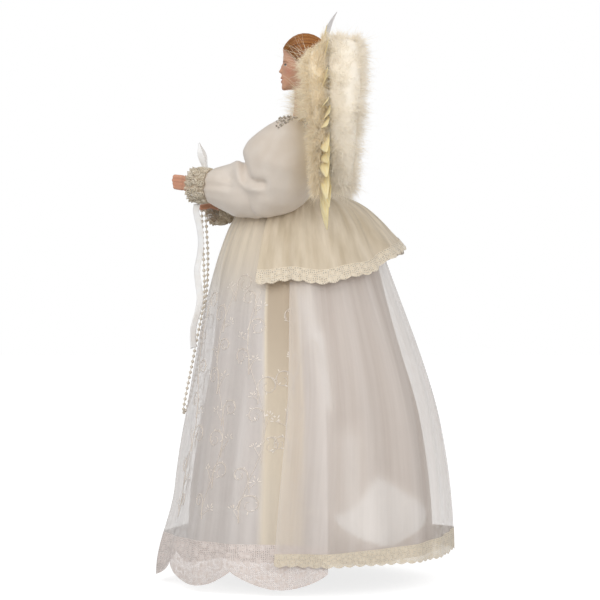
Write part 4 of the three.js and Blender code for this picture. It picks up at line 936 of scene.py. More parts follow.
def band_place(u, v):
    turn, roll = 2 * np.pi * u, 2 * np.pi * v
    crease = 0.18 * np.sin(38 * turn + 3 * np.sin(roll))
    radius = BAND_R + (2.9 + crease) * np.cos(roll)
    return np.stack([radius * np.sin(turn), -radius * np.cos(turn), BAND_Z + 2.35 * np.sin(roll)], axis=-1)


band = cloth_grid("rolled_waistband", 160, 20, band_place, (128, 17))
dress(band, "figure", "satin", satin, "waistband")

# %% [markdown]
# Rows of silvered beads are sewn along the neckline, the lowest row in small loops. They follow the
# neckline's own formula, so they sit on the cloth's edge all the way round, and each has its own size.

# %% Neck beads
# Each row is (how far below the neckline, how far off the figure).
COLLAR_ROWS = ((-1.4, 1.4), (0.2, 2.0), (1.8, 2.2), (3.4, 2.4), (5.0, 2.4))

collar_turn = np.linspace(0, 2 * np.pi, 88, endpoint=False)
collar_spots = []
for row, (drop, grow) in enumerate(COLLAR_ROWS):
    turn = collar_turn + row * 0.035
    sag = 0.9 * np.abs(np.sin(11 * turn)) * (row == 4)
    collar_spots.append(figure(turn, neckline(turn, 1.6) - drop - sag, grow))
collar_spots = np.concatenate(collar_spots)
collar_sizes = chance.uniform(0.5, 0.72, len(collar_spots))
collar_frames = [(spot, np.eye(3), size) for spot, size in zip(collar_spots, collar_sizes)]
collar = mesh_piece("neck_beads", *copies(bead_points, bead_faces, collar_frames))
dress(collar, "figure", "beads", silver, "neck_bead_trim")

# %% [markdown]
# ## Sleeves
# Each sleeve is one puff of satin over wadding, gathered into the armhole and into the cuff. A cloth
# simulation could inflate it, but its creases have to lie where the photograph shows them. So a ball is
# wrapped onto the CAD sleeve, worn smooth and then creased: a deep crease parts the upper arm's puff from the
# forearm's, a dimple and a fold lie beside the cuff, pleats run up from it and others fan out from the
# armhole. The creases are drawn as bent lines in side view, which is how the photograph shows them.

# %% Arms
ELBOW = np.array([38, -13, 245])
ARMS = {
    "left": {"side": 1, "wrist": np.array([17, -61, 247]), "tip": np.array([6, -88, 250.5]),
             "roll": 80, "reach": 1.1},
    "right": {"side": -1, "wrist": np.array([19.5, -49, 235]), "tip": np.array([6, -71, 234]),
              "roll": 180, "reach": 1}}


def sided(points, side):
    """Places given for the left, on either side."""
    return np.asarray(points, float) * [side, 1, 1]


def axes_along(way, up=(0, 0, 1)):
    """Rows of axes with x along way and z as near to up as it can be."""
    x = unit(way)
    y = unit(np.cross(up, x))
    return np.array([x, y, np.cross(x, y)])


for name, arm in ARMS.items():
    print(name, "forearm:", round(float(np.linalg.norm(arm["wrist"] - ELBOW))), "mm from elbow to wrist")

# %% Creases and swellings
# Creases are (route as y and z, height, width). Swellings are (y and z, height, width).
CREASES = [
    ([(-38.4, 264), (-38.1, 260.7), (-37.1, 255.2), (-35.4, 250.5), (-31, 247.3), (-25, 246.6)], -2.9, 2.4),
    ([(-42, 260), (-41.5, 253.9), (-40.1, 248.4), (-34.7, 244.4), (-27.2, 242.7)], 1.5, 1.9),
    ([(-62, 248), (-55, 246.4), (-47, 244.6)], -1.5, 1.3),
    ([(-15, 282), (-18, 274), (-21, 266)], -0.5, 2.4)]
SWELLINGS = [((-35, 272), 4.2, 12), ((-43, 229), 4.6, 11), ((-27, 228), 4.6, 8), ((-6, 291), 3.5, 9)]
DIMPLE = np.array([-48.8, 251.5])
DIMPLE_SIZE = np.array([3.6, 5.2])


def from_route(spots, route):
    """How far flat spots are from a bent line."""
    nearest = np.full(len(spots), np.inf)
    for a, b in zip(route, route[1:]):
        t = np.clip((spots - a) @ (b - a) / ((b - a) @ (b - a)), 0, 1)
        nearest = np.minimum(nearest, np.linalg.norm(spots - a - t[:, None] * (b - a), axis=1))
    return nearest


def round_ripples(points, middle, axis_rows, count, bend):
    """Waves round an axis through a place, and how far along it points are: rows are along, across and up."""
    local = (points - middle) @ axis_rows.T
    turn = np.arctan2(local[:, 2], local[:, 1])
    return np.sin(count * turn + bend * np.sin(2 * turn)), local[:, 0]


def creased(points, normals, arm):
    """A smooth puff's points, moved in and out along its normals and drawn into the cuff and the armhole."""
    way = unit(arm["wrist"] - ELBOW)
    pleats, along = round_ripples(points, arm["wrist"], axes_along(way), 14, 1.5)
    gathers, _ = round_ripples(points, ARMHOLE, np.eye(3), 15, 1.0)
    from_hole = np.linalg.norm(points - ARMHOLE, axis=1)
    seen = points[:, 1:] - (arm["wrist"] - ARMS["left"]["wrist"])[1:] * ease(along, -50, -20)[:, None]
    lift = 0.6 + 0.8 * pleats * np.exp(along / 9) + 0.8 * gathers * np.exp(-from_hole / 9)
    for route, depth, wide in CREASES:
        apart = from_route(seen, np.array(route))
        lift += depth * hump(apart, 0, wide) - 0.15 * depth * hump(apart, 2.4 * wide, wide)
    lift -= 4.2 * np.exp(-(((seen - DIMPLE) / DIMPLE_SIZE) ** 2).sum(axis=1))
    lift += 1.6 * ease(seen[:, 1], 246, 260) * ease(seen[:, 0], -34, -20) * ease(points[:, 0], 30, 50)
    for place, rise, wide in SWELLINGS:
        lift += rise * hump(np.linalg.norm(seen - place, axis=1), 0, wide)
    points = points + normals * lift[:, None]
    points = points + (5.5 * ease(along, -16, -3))[:, None] * way
    over_hole = hump(np.linalg.norm(points[:, 1:] - ARMHOLE[1:], axis=1), 0, 9)
    points[:, 0] += (20.4 - points[:, 0]) * (over_hole * ease(-normals[:, 0], 0, 0.5))
    return points


print(len(CREASES), "creases and", len(SWELLINGS), "swellings")

# %% Sleeves
PUFF_MIDDLE = [38, -16, 250]

for name, arm in ARMS.items():
    side = arm["side"]
    bpy.ops.object.select_all(action="DESELECT")
    bpy.ops.mesh.primitive_ico_sphere_add(subdivisions=6, radius=0.1, location=sided(PUFF_MIDDLE, side) * MM)
    sleeve = made_here(name + "_satin_sleeve")
    modify(sleeve, "SHRINKWRAP", target=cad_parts[name + "_sleeve"], wrap_method="PROJECT",
           use_negative_direction=True, use_positive_direction=False)
    modify(sleeve, "SMOOTH", factor=0.5, iterations=22)
    normals = np.empty(len(sleeve.data.vertices) * 3)
    sleeve.data.vertices.foreach_get("normal", normals)
    points = creased(sided(get_points(sleeve), side), sided(normals.reshape(-1, 3), side), arm)
    set_points(sleeve, sided(points, side))
    modify(sleeve, "SMOOTH", factor=0.5, iterations=3)
    sleeve.data.shade_smooth()
    dress(sleeve, name + "_arm", "satin", satin, name + "_sleeve")

# %% [markdown]
# The beaded trim spreads from the neckline over the head of each sleeve. Those beads are sewn to the sleeve
# and move with it. Placed by hand they would float or sink where the satin swells, so they are laid on it by
# casting rays at it from the side.

# %% Beads on the sleeve heads
BEAD_ROWS = 5
BEADS_IN_ROW = 9

for name, arm in ARMS.items():
    satin_sleeve = bpy.data.objects[name + "_satin_sleeve"]
    frames = []
    for row in range(BEAD_ROWS):
        for k in range(BEADS_IN_ROW):
            share = (k + 0.5 * (row % 2)) / 8
            y = mix(-1.0, -14.5, share) + chance.uniform(-0.6, 0.6)
            z = mix(mix(297.5, 291.0, share), mix(293.0, 284.0, share), row / 4) + chance.uniform(-0.5, 0.5)
            far = np.array([90 * arm["side"], y, z])
            hit, place, normal, _ = satin_sleeve.ray_cast(far * MM, (-arm["side"], 0, 0))
            if hit:
                seat = np.array(place) / MM + 0.5 * np.array(normal)
                frames.append((seat, np.eye(3), chance.uniform(0.45, 0.8)))
    sewn = mesh_piece(name + "_sleeve_beads", *copies(bead_points, bead_faces, frames))
    dress(sewn, name + "_arm", "beads", silver)

# %% [markdown]
# ## Forearms and hands
# Cast bisque, made as a forearm with a groove for the tying thread, a flat palm, straight fingers held
# together and a free thumb. The left palm stands on edge with its thumb up, the right one faces down.
# Sculpting would suit a single hand. Here blocks are joined, remeshed and smoothed into one casting, so both
# hands come from one pattern.

# %% Pattern of a hand
SKIN = np.array(linear("#D8A689"))
FINGERTIP = np.array(linear("#DA9D80"))
FINGER_PITCH = 2.35


def capsule(start, end, start_r, end_r):
    t = np.linspace(0, 1, 10)
    return threads("finger", [np.asarray(start) + t[:, None] * (np.asarray(end) - start)], 1.0,
                   lambda s: mix(start_r, end_r, s) * np.sqrt(np.clip(1 - (2 * s - 1) ** 12, 0.05, 1)), 3)


def hand_blocks():
    """A palm, four fingers and a thumb along x, with the thumb on -y."""
    palm = ball("palm", 24, 14)
    set_points(palm, get_points(palm) * [10.0, 5.5, 3.0] + [8.0, 0, 0])
    blocks = [palm]
    for place in (-1.5, -0.5, 0.5, 1.5):
        knuckle = np.array([11, place * FINGER_PITCH, -0.3])
        joint = np.array([20, place * FINGER_PITCH, 0.0])
        tip = np.array([28.4 - 0.5 * abs(place + 0.5), place * 2.3, 1.0])
        blocks += [capsule(knuckle, joint, 2.1, 2.0), capsule(joint - [0.8, 0, 0], tip, 2.0, 1.8)]
    blocks.append(capsule([3, -3.4, 0.6], [9, -6.2, 1.8], 2.1, 1.8))
    blocks.append(capsule([8.6, -6.1, 1.8], [15, -6.7, 2.6], 1.8, 1.2))
    return blocks


def forearm_r(t):
    """Its radius from the sleeve to the wrist, with the groove."""
    return np.interp(t, [0, 0.1, 0.16, 0.26, 0.32, 0.8, 1], [4.4, 4.4, 3.5, 3.5, 4.4, 4.3, 3.5])


print("groove's radius in mm:", float(forearm_r(0.2)))

# %% Forearms and hands
for name, arm in ARMS.items():
    hand = joined(name + "_bisque_forearm", *hand_blocks())
    wrist, tip = arm["wrist"], arm["tip"]
    hand_way, arm_way = unit(tip - wrist), unit(wrist - ELBOW)
    across = unit(np.cross(hand_way, [0, 0, 1]))
    roll = math.radians(arm["roll"])
    spin = np.array([[1, 0, 0], [0, math.cos(roll), -math.sin(roll)], [0, math.sin(roll), math.cos(roll)]])
    set_points(hand, wrist + get_points(hand) * [arm["reach"], 1, 1] @ spin @ np.array(
        [hand_way, across, np.cross(across, hand_way)]))
    back = wrist - 20 * arm_way
    stem = threads("stem", [back + np.linspace(0, 24, 30)[:, None] * arm_way], 1.0, forearm_r, 5)
    hand = joined(name + "_bisque_forearm", hand, stem)
    modify(hand, "REMESH", mode="VOXEL", voxel_size=0.4 * MM)
    modify(hand, "SMOOTH", factor=0.5, iterations=4)
    points = get_points(hand)
    set_points(hand, sided(points, arm["side"]))
    if arm["side"] < 0:
        hand.data.flip_normals()
    hand.data.shade_smooth()
    to_tip = ease(np.linalg.norm(points - tip, axis=1), 14, 2)[:, None]
    set_paint(hand, mix(SKIN, FINGERTIP, to_tip))
    dress(hand, name + "_arm", "bisque", bisque, name + "_forearm")

# %% [markdown]
# ## Cuffs and ribbon loop
# Each cuff is a band of gathered lace crowded with small crocheted rosettes. A rosette is a narrow strip
# rolled into a spiral with a waved edge, and copies of one are turned at random, as sewn ones are. A ribbon
# loop stands on top of the left cuff. It is one strip bent along a drawn outline, because a single stiff loop
# needs no simulation.

# %% Rosette
STEPS = 28

spiral = np.linspace(0, 2.2 * 2 * np.pi, STEPS)
spiral_r = 0.35 + 2.3 * spiral / spiral[-1]
edge_r = spiral_r * (1 + 0.22 * np.sin(2.5 * spiral))
ROSETTE = np.concatenate([
    np.stack([spiral_r * np.cos(spiral), spiral_r * np.sin(spiral), 0 * spiral - 0.3], axis=1),
    np.stack([edge_r * np.cos(spiral), edge_r * np.sin(spiral), 2.3 - 0.5 * spiral / spiral[-1]], axis=1)])
ROSETTE_FACES = [[k, k + 1, k + STEPS + 1, k + STEPS] for k in range(STEPS - 1)]
print("a rosette has", len(ROSETTE_FACES), "faces")

# %% Cuffs
# Each row of rosettes is (how far along, radius, count).
ROSETTE_ROWS = ((3.4, 10.4, 11), (7.6, 11.0, 12), (11.8, 10.2, 11))

for name, arm in ARMS.items():
    wrist, tip = sided(arm["wrist"], arm["side"]), sided(arm["tip"], arm["side"])
    arm_way = unit(wrist - sided(ELBOW, arm["side"]))
    way = unit(arm_way + unit(tip - wrist))
    axes = axes_along(way)
    start = wrist + way * 8 * math.tan(math.acos(np.clip(way @ arm_way, -1, 1)))

    def cuff_place(u, v):
        turn = 2 * np.pi * u
        frill = 1 + 0.1 * np.sin(18 * turn) * v
        radius = np.interp(v, [0, 0.25, 0.6, 0.9, 1], [8.4, 11.0, 11.8, 11.0, 11.6]) * frill
        along = np.interp(v, [0, 0.25, 1], [0.4, 2.0, 15.0])
        return (start + along[:, None] * axes[0] + (radius * np.cos(turn))[:, None] * axes[1]
                + (radius * np.sin(turn))[:, None] * axes[2])

    ruffle = cloth_grid(name + "_cuff_ruffle", 180, 16, cuff_place, (150, 16))
    frames = []
    for row, (along, radius, count) in enumerate(ROSETTE_ROWS):
        for k in range(count):
            turn = 2 * math.pi * (k + 0.5 * row) / count + chance.uniform(-0.12, 0.12)
            out = math.cos(turn) * axes[1] + math.sin(turn) * axes[2]
            spin = axes_along(out, unit(chance.normal(size=3)))[[1, 2, 0]]
            frames.append((start + along * axes[0] + radius * out, spin, chance.uniform(0.8, 1.05)))
    rosettes = mesh_piece(name + "_rosettes", *copies(ROSETTE, ROSETTE_FACES, frames))
    modify(rosettes, "SOLIDIFY", thickness=0.45 * MM, offset=0)
    dress(ruffle, name + "_arm", "lace", cuff_lace, name + "_cuff_lace")
    dress(rosettes, name + "_arm", "lace", crochet)

# %% Ribbon loop
LOOP_ROUTE = np.array([
    [-0.4, 0, -2], [-2.6, 0, 4.5], [-3.0, 0, 9], [-1.6, 0, 13.6], [-0.15, 0, 16.2],
    [1.5, 0, 13.4], [2.8, 0, 9], [2.5, 0, 4.5], [0.4, 0, -2]])
LOOP_LEAN, LOOP_TURN = math.radians(14), math.radians(74)

left_wrist = ARMS["left"]["wrist"]
left_way = unit(left_wrist - ELBOW)
left_up = unit(np.cross(np.cross(left_way, [0, 0, 1]), left_way))
loop_seat = left_wrist + 6 * left_way + 14 * left_up
loop_line = curve_through(LOOP_ROUTE, 0.6)


def loop_place(u, v):
    """Along the loop, narrowest at its top, turned and then leaned on its seat."""
    spot = v * (len(loop_line) - 1)
    index = np.arange(len(loop_line))
    x, z = np.interp(spot, index, loop_line[:, 0]), np.interp(spot, index, loop_line[:, 2])
    width = RIBBON_WIDTH * (u - 0.5) * (0.75 + 0.25 * ease(z, 0, 6)) * (1 - 0.75 * ease(z, 7, 16))
    cos, sin = math.cos(LOOP_TURN), math.sin(LOOP_TURN)
    flat = np.stack([width * cos - x * sin, width * sin + x * cos, z], axis=1)
    cos, sin = math.cos(LOOP_LEAN), math.sin(LOOP_LEAN)
    return loop_seat + flat @ np.array([[1, 0, 0], [0, cos, sin], [0, -sin, cos]])


loop = cloth_grid("ribbon_loop", 6, 70, loop_place, (RIBBON_WIDTH, 40))
modify(loop, "SOLIDIFY", thickness=RIBBON_THICK * MM, offset=0)
dress(loop, "left_arm", "satin", ribbon, "ribbon_bow")

# %% [markdown]
# ## Head
# One bisque casting with the shoulder plate. A face could be sculpted by hand, but a formula can be read and
# changed: a ball is drawn out to a calm doll's face by soft swellings, placed by angles from the middle of
# the head, and set on the neck. It is remeshed so the neck and plate flow together, then painted by place.

# %% Shape of the head
HEAD = np.array([0, 3, 333])
# Each swelling is (height, degrees to either side, degrees up, width, tallness).
FEATURES = {
    "brow": [(2.2, 0, 38, 45, 9), (-0.8, 0, 7, 12, 8), (0.4, 17, 7, 14, 5)],
    "eyes": [(-1.1, 25, -4, 10, 6), (0.5, 26, -4.5, 7.5, 3.8)],
    "nose": [(2.7, 0, -16.5, 6, 5), (1.0, 0, -7, 4.5, 8), (0.5, 6, -18, 3.5, 3)],
    "mouth": [(1.0, 0, -25, 10, 4), (1.8, 0, -30.2, 10, 2.4), (-0.6, 0, -33.8, 11, 1.2),
              (0.9, 0, -36.6, 8, 2.0)],
    "chin and cheeks": [(5.6, 0, -47, 24, 14), (-0.9, 0, -42.0, 12, 2.6), (0.7, 0, -50.5, 15, 4),
                        (0.5, 32, -14, 12, 10)]}


def swell(turn, lift, at_turn, at_lift, wide, tall):
    return np.exp(-(((np.abs(turn) - at_turn) / wide) ** 2) - ((lift - at_lift) / tall) ** 2)


def face(turn, lift):
    """How far the face stands out from a plain ball, by angles from the middle of the head."""
    return sum(sum(height * swell(turn, lift, *place) for height, *place in feature)
               for feature in FEATURES.values())


def angles_from_head(away):
    """Degrees to the side and up, for ways from the middle of the head."""
    turn = np.degrees(np.arctan2(away[..., 0], -away[..., 1]))
    return turn, np.degrees(np.arcsin(np.clip(unit(away)[..., 2], -1, 1)))


def head_point(way, grow=0.0, relief=True):
    """The head's surface along unit ways from its middle."""
    depth = np.where(way[..., 1] < 0, 15.4, 16.6)
    tall = np.where(way[..., 2] > 0, 18.6, 19.4)
    wide = 14.4 * (1 - 0.2 * ease(-way[..., 2], 0.1, 0.9))
    reach = 1 / np.sqrt((way[..., 0] / wide) ** 2 + (way[..., 1] / depth) ** 2 + (way[..., 2] / tall) ** 2)
    if relief:
        reach = reach + face(*angles_from_head(way))
    return HEAD + way * (reach + grow)[..., None]


print("tip of the nose stands out", round(float(face(0.0, -16.5)), 1), "mm")

# %% Head, neck and shoulder plate
PLATE_Z, NECK_TOP_Z = 286.4, 323.0


def neck_place(u, v):
    return figure(2 * np.pi * u, mix(PLATE_Z, NECK_TOP_Z, v), -0.3 * ease(v, 0.2, 0.3))


skull = ball("skull", 128, 96)
set_points(skull, head_point(unit(get_points(skull))))
neck_piece = cloth_grid("neck", 64, 40, neck_place, (1, 1))
modify(neck_piece, "SOLIDIFY", thickness=2.0 * MM, offset=-1)
casting = joined("bisque_shoulder_head", skull, neck_piece)
modify(casting, "REMESH", mode="VOXEL", voxel_size=0.3 * MM)
modify(casting, "SMOOTH", factor=0.5, iterations=3)
casting.data.shade_smooth()
print("casting:", len(casting.data.vertices), "points")

# %% Painting of the face
away = get_points(casting) - HEAD
turn, lift = angles_from_head(away)
fore = (away[:, 1] < 0) & (np.abs(lift) < 60)
eye_x, eye_z = (np.abs(turn) - 26) / 7.6, (lift + 4.5) / 3.1
lid_z = 3.2 * np.sqrt(np.clip(1 - eye_x ** 2, 0, 1))
cheek = swell(turn, lift, 38, -22, 14, 11)
lip = np.maximum(swell(turn, lift, 0, -31.2, 10, 2.2), swell(turn, lift, 0, -36.2, 9, 2.2))
eye_white = 1 - eye_x ** 2 - eye_z ** 2
iris = 1 - ((np.abs(turn) - 25.5) / 4.2) ** 2 - eye_z ** 2
lash = hump(lift + 4.5 - lid_z, 0, 1.1) * (np.abs(eye_x) < 1.15)
brow = hump(lift, 5.5 - 0.02 * (np.abs(turn) - 24) ** 2, 1.2) * (np.abs(np.abs(turn) - 26) < 13)

skin_colour = np.tile(SKIN, (len(away), 1))
for code, share in (("#D98E78", 0.55 * cheek), ("#B5564A", 1.6 * lip - 0.5), ("#F0E6DC", 4 * eye_white),
                    ("#2E1D12", 5 * iris), ("#2A1A10", 1.5 * lash), ("#8A5A38", 0.8 * brow)):
    skin_colour = mix(skin_colour, np.array(linear(code)), (np.clip(share, 0, 1) * fore)[:, None])
set_paint(casting, skin_colour)
dress(casting, "figure", "bisque", bisque, "shoulder_head")

# %% [markdown]
# ## Hair
# A wig on a glued cap: fine locks are combed from the hairline round both sides of the head and up from
# the nape, and rolled into a bun behind. Blender's hair curves could grow it, but the pieces handed on are
# meshes, so each lock is a thin tapered thread, thicker than a hair so that it shows. The cap under them
# closes the gaps. The hairline is a slanted plane, as on the CAD wig.

# %% Cap
HAIRLINE_POINT = HEAD + [0, -15.2, 11.2]
HAIRLINE_WAY = np.array([0, math.cos(math.radians(42)), math.sin(math.radians(42))])
HAIR_LIFT = 1.9
UNDER_TINT = 0.35


def off_hairline(points):
    """Where the hair stops: in front of the slanted plane, and below the ears."""
    before = (points - HAIRLINE_POINT) @ HAIRLINE_WAY < 0.2
    return before | ((points[:, 2] < 318) & (points[:, 1] < 12.5))


cap = ball("cap", 96, 64)
set_points(cap, head_point(unit(get_points(cap)), HAIR_LIFT, relief=False))
trim(cap, off_hairline)
set_tint(cap, UNDER_TINT)
print("cap:", len(cap.data.polygons), "faces")

# %% Locks and bun
BUN = np.array([0, 24.2, 334])
LOCKS = 420
LOCK_STEPS = 14
BUN_LOCKS = 44

bun_way = unit(BUN - HEAD)
side_way = np.array([1.0, 0, 0])
rise_way = np.cross(bun_way, side_way)
locks = []
for k in range(LOCKS):
    round_head = 2 * math.pi * k / LOCKS
    outward = math.cos(round_head) * side_way + math.sin(round_head) * rise_way
    angles = np.linspace(0.15, math.pi, 120)
    ways = np.cos(angles)[:, None] * bun_way + np.sin(angles)[:, None] * outward
    over = head_point(ways, HAIR_LIFT, relief=False)
    gone = off_hairline(over)
    last = max(12, int(np.argmax(gone))) if gone.any() else len(gone)
    chosen = np.linspace(0, last - 1, LOCK_STEPS).astype(int)
    puff = 0.9 * np.sin(np.pi * np.linspace(0.04, 0.97, LOCK_STEPS)) + chance.uniform(-0.2, 0.3)
    sway = 0.35 * np.sin(np.linspace(0, 4, LOCK_STEPS) + chance.uniform(0, 6))
    across = np.cross(ways[chosen], outward)
    locks.append(over[chosen] + ways[chosen] * puff[:, None] + across * sway[:, None])
for k in range(BUN_LOCKS):
    spin = chance.uniform(0, 6.28) + np.linspace(0, 1.7 * math.pi, 20)
    radius = chance.uniform(2.0, 6.8)
    deep = 1.0 + 4.6 * math.sqrt(1 - (radius / 8) ** 2) + 0.4 * np.sin(3 * spin)
    locks.append(BUN + np.stack([radius * np.cos(spin), deep, 0.92 * radius * np.sin(spin)], axis=1))
print(len(locks), "locks")

# %% Wig
lock_piece = threads("locks", locks, 0.42, lambda t: 0.4 + 0.6 * np.sin(np.pi * np.clip(t + 0.1, 0, 1)), 0)
away = get_points(lock_piece) - HEAD
spin = np.arctan2(away @ rise_way, away @ side_way)
set_tint(lock_piece, 0.55 + 0.3 * np.sin(61 * spin) * np.sin(23 * spin))
knot = ball("knot", 32, 20, place=BUN)
set_points(knot, (get_points(knot) - BUN) * [7.4, 5.4, 6.8] + BUN + [0, 0.6, 0])
set_tint(knot, UNDER_TINT)
wig = joined("auburn_wig", lock_piece, cap, knot)
dress(wig, "figure", "auburn_hair", hair, "hair_wig", "hair_bun")

# %% [markdown]
# ## Wings
# Each wing is a card with its wire frame, long feathers glued in a fan from one point, rows of short
# feathers over their quills, and a fluffy marabou strip on the front and on the back. A flat picture of a
# feather would look cut out where the light rakes it. So each is a thin curved sheet from one pattern: a vane
# that tapers and splits here and there, on a pale shaft.

# %% Pattern of a feather
HINGE = np.array([9, 19.6, 0])
FAN = np.array([45, 0, 298])


def on_wing(points, side):
    return sided(points + HINGE, side)


def fan_way(degrees):
    """A way in the wing's plane, by degrees up from straight out."""
    return np.array([math.cos(math.radians(degrees)), 0, math.sin(math.radians(degrees))])


def quad_faces(columns, rows, count):
    """Faces of many strips of columns by rows cells, each with its own points."""
    corner = (np.arange(rows)[:, None] * (columns + 1) + np.arange(columns)).ravel()
    cell = np.stack([corner, corner + 1, corner + columns + 2, corner + columns + 1], axis=1)
    start = np.arange(count)[:, None, None] * (columns + 1) * (rows + 1)
    return (cell[None] + start).reshape(-1, 4).tolist()


def vane(root, way, back, length, half_width, bend, cup, twist, columns, rows):
    """A feather's points from its root: way runs in the wing's plane, bend curls its tip back, and twist
    turns it about its shaft by that many degrees towards the tip."""
    u, v = np.meshgrid(np.linspace(-1, 1, columns + 1), np.linspace(0, 1, rows + 1))
    u, v = u.ravel(), v.ravel()
    taper = np.minimum(1, 0.12 + 1.5 * v) * np.maximum(0.05, 1 - v ** 4) ** 0.8
    split = 1 - 0.16 * np.abs(u) * (np.sin(23 * v + 9 * np.sign(u)) > 0.75)
    turn = np.radians(twist) * ease(v, 0.45, 0.8)
    wide = u * half_width * taper * split
    points = root + (v * length)[:, None] * way + (wide * np.cos(turn))[:, None] * [-way[2], 0, way[0]]
    curl = bend * np.maximum(0, (v - 0.6) / 0.4) ** 2
    points[:, 1] += back + curl - cup * (1 - u ** 2) * np.sin(np.pi * v) + wide * np.sin(turn)
    return points


def feather_piece(name, blades, columns, rows, shaft_r):
    """Feathers of one size as one mesh, each with its shaft."""
    vanes = mesh_piece(name + "_vanes", np.concatenate(blades), quad_faces(columns, rows, len(blades)))
    modify(vanes, "SOLIDIFY", thickness=0.16 * MM, offset=0)
    spines = [blade[columns // 2::columns + 1][:-1] + [0, -0.25, 0] for blade in blades]
    shafts = threads(name + "_shafts", spines, shaft_r, lambda t: 1.0 - 0.75 * t, 0)
    made = joined(name, vanes, shafts)
    x, _, z = get_points(made).T
    set_tint(made, 0.55 + 0.3 * np.sin(x * 1.9 + z * 2.7) * np.sin(z * 0.37))
    return made


print("wings hinge at", HINGE[:2], "and fan from", FAN)

# %% Feathers of a wing
# Long feathers are (degrees, reach, bend of the tip, twist). Long coverts are (degrees, reach, twist).
PRIMARIES = (
    (82, 64, 8, -16), (60, 61, 2, 7), (38, 66, 2, 9), (16, 69, 2, 12),
    (-8, 71, 2, 26), (-32, 78, 2, 32), (-55, 85, 2, 34), (-75, 86, 2, 26))
LONG_COVERTS = (
    (12, 70, 24), (-2, 72, 36), (-14, 75, 40), (-26, 79, 42),
    (-38, 82, 44), (-49, 85, 44), (-61, 87, 40), (-69, 88, 36))
SHORT_ROWS = ((37, 13), (29, 11), (20, 8))
LONG_GRID, SHORT_GRID = (10, 44), (6, 14)


def glue_feathers(name, side):
    """The long feathers one by one, then the short ones over their quills."""
    for k, (degrees, reach, bend, twist) in enumerate(PRIMARIES):
        way = fan_way(degrees)
        blade = vane(FAN + 6 * way, way, -2.75 - 0.8 * (k % 2), reach - 6, 9.0, bend, 0.5, twist, *LONG_GRID)
        plume = feather_piece(f"{name}_plume_{k + 1}", [on_wing(blade, side)], *LONG_GRID, 0.55)
        dress(plume, name + "_wing", "feather", feather if k else pale_feather, f"{name}_primary_{k + 1}")
    short = []
    for row, (reach, count) in enumerate(SHORT_ROWS):
        for k in range(count):
            way = fan_way(mix(98, -92, (k + 0.5 * (row % 2)) / (count - 0.5)) + chance.uniform(-4, 4))
            back = -3.9 - 0.22 * row - 0.07 * (k % 3)
            short.append(vane(FAN + 2 * way, way, back, reach, 5.2, 0.8, 0.5, 0, *SHORT_GRID))
    for degrees, reach, twist in LONG_COVERTS:
        way = fan_way(degrees)
        short.append(vane(FAN + 2 * way, way, -3.75, reach - 2, 7.5, 1.5, 0.5, twist, *SHORT_GRID))
    blades = [on_wing(blade, side) for blade in short]
    coverts = feather_piece(name + "_short_feathers", blades, *SHORT_GRID, 0.3)
    dress(coverts, name + "_wing", "feather", feather, name + "_coverts")


print(len(PRIMARIES), "long feathers on each wing")

# %% [markdown]
# Marabou is down sewn to a cord: soft tufts whose barbs are thinner than hair. Drawing every barb would take
# many millions of faces. So a smooth pale core stands for the depths of the down, where no barb can be told
# apart, and barbs stand out of it in tufts, drawn several times as wide as real ones so that they show. In
# front they may only reach as far as they do beside the head in the photograph.

# %% Core of the marabou
ARCH = curve_through(FAN + np.array([
    [-13, 0, 25], [4, 0, 39], [25, 0, 35], [42, 0, 16], [47, 0, -8], [41, 0, -34], [29, 0, -57]]), 1.0)
ARCH_WAY = unit(np.gradient(ARCH, axis=0))
BACKWARD = np.array([0.0, 1.0, 0.0])
STRIPS = {
    "front": {"wide": 11, "deep": 5.5, "face": -4.1, "toward": -1, "slim": 0.6, "barb": (5, 10),
              "core": 0.84, "shift": 2.3},
    "back": {"wide": 13, "deep": 11, "face": -0.9, "toward": 1, "slim": 0.9, "barb": (4, 8),
             "core": 0.91, "shift": 1.6}}


def bolster(strip, t, turn, size):
    """Points and outward ways on a strip along the wing's arch, flattened a little towards the feathers."""
    spot = t * (len(ARCH) - 1)
    index = np.arange(len(ARCH))
    middle = np.stack([np.interp(spot, index, ARCH[:, k]) for k in range(3)], axis=-1)
    way = unit(np.stack([np.interp(spot, index, ARCH_WAY[:, k]) for k in range(3)], axis=-1))
    across = np.stack([-way[..., 2], 0 * t, way[..., 0]], axis=-1)
    deep = strip["deep"] * mix(1, strip["slim"], ease(t, 0.45, 0.75))
    plump = size * np.maximum(0.2, np.sin(np.pi * mix(0.06, 0.94, t))) ** 0.45
    power = np.where(np.sin(turn) * strip["toward"] < 0, 3.6, 2.1)
    square = plump * (np.abs(np.cos(turn)) ** power + np.abs(np.sin(turn)) ** power) ** (-1 / power)
    out = ((np.cos(turn) * square * strip["wide"])[..., None] * across
           + (np.sin(turn) * square * deep)[..., None] * BACKWARD)
    ends = unit(out) + (1.4 * (ease(t, 0.93, 1) - ease(t, 0.07, 0)))[..., None] * way
    return middle + (strip["face"] + strip["toward"] * deep)[..., None] * BACKWARD + out, unit(ends)


def room(strip, z):
    """The nearest and furthest place of a strip from front to back at each height, from the hinge."""
    if strip["toward"] > 0:
        return np.full_like(z, -4.0), np.full_like(z, 40.0)
    nearest = np.interp(z, [240, 274, 284, 290, 313, 326, 333, 337, 341, 346],
                        [-14, -16, -18, -22, -23, -22, -13, -8.6, -5.6, -4.6])
    return nearest, np.full_like(z, -1.3)


def lowered(strip, points):
    """Both strips are flattened on top, the front one lower, and a little at their low ends."""
    top = 340 if strip["toward"] > 0 else 337
    points[:, 2] = np.minimum(points[:, 2], top + 0.2 * (points[:, 2] - top))
    points[:, 2] = np.maximum(points[:, 2], 244 + 0.3 * (points[:, 2] - 244))
    return points


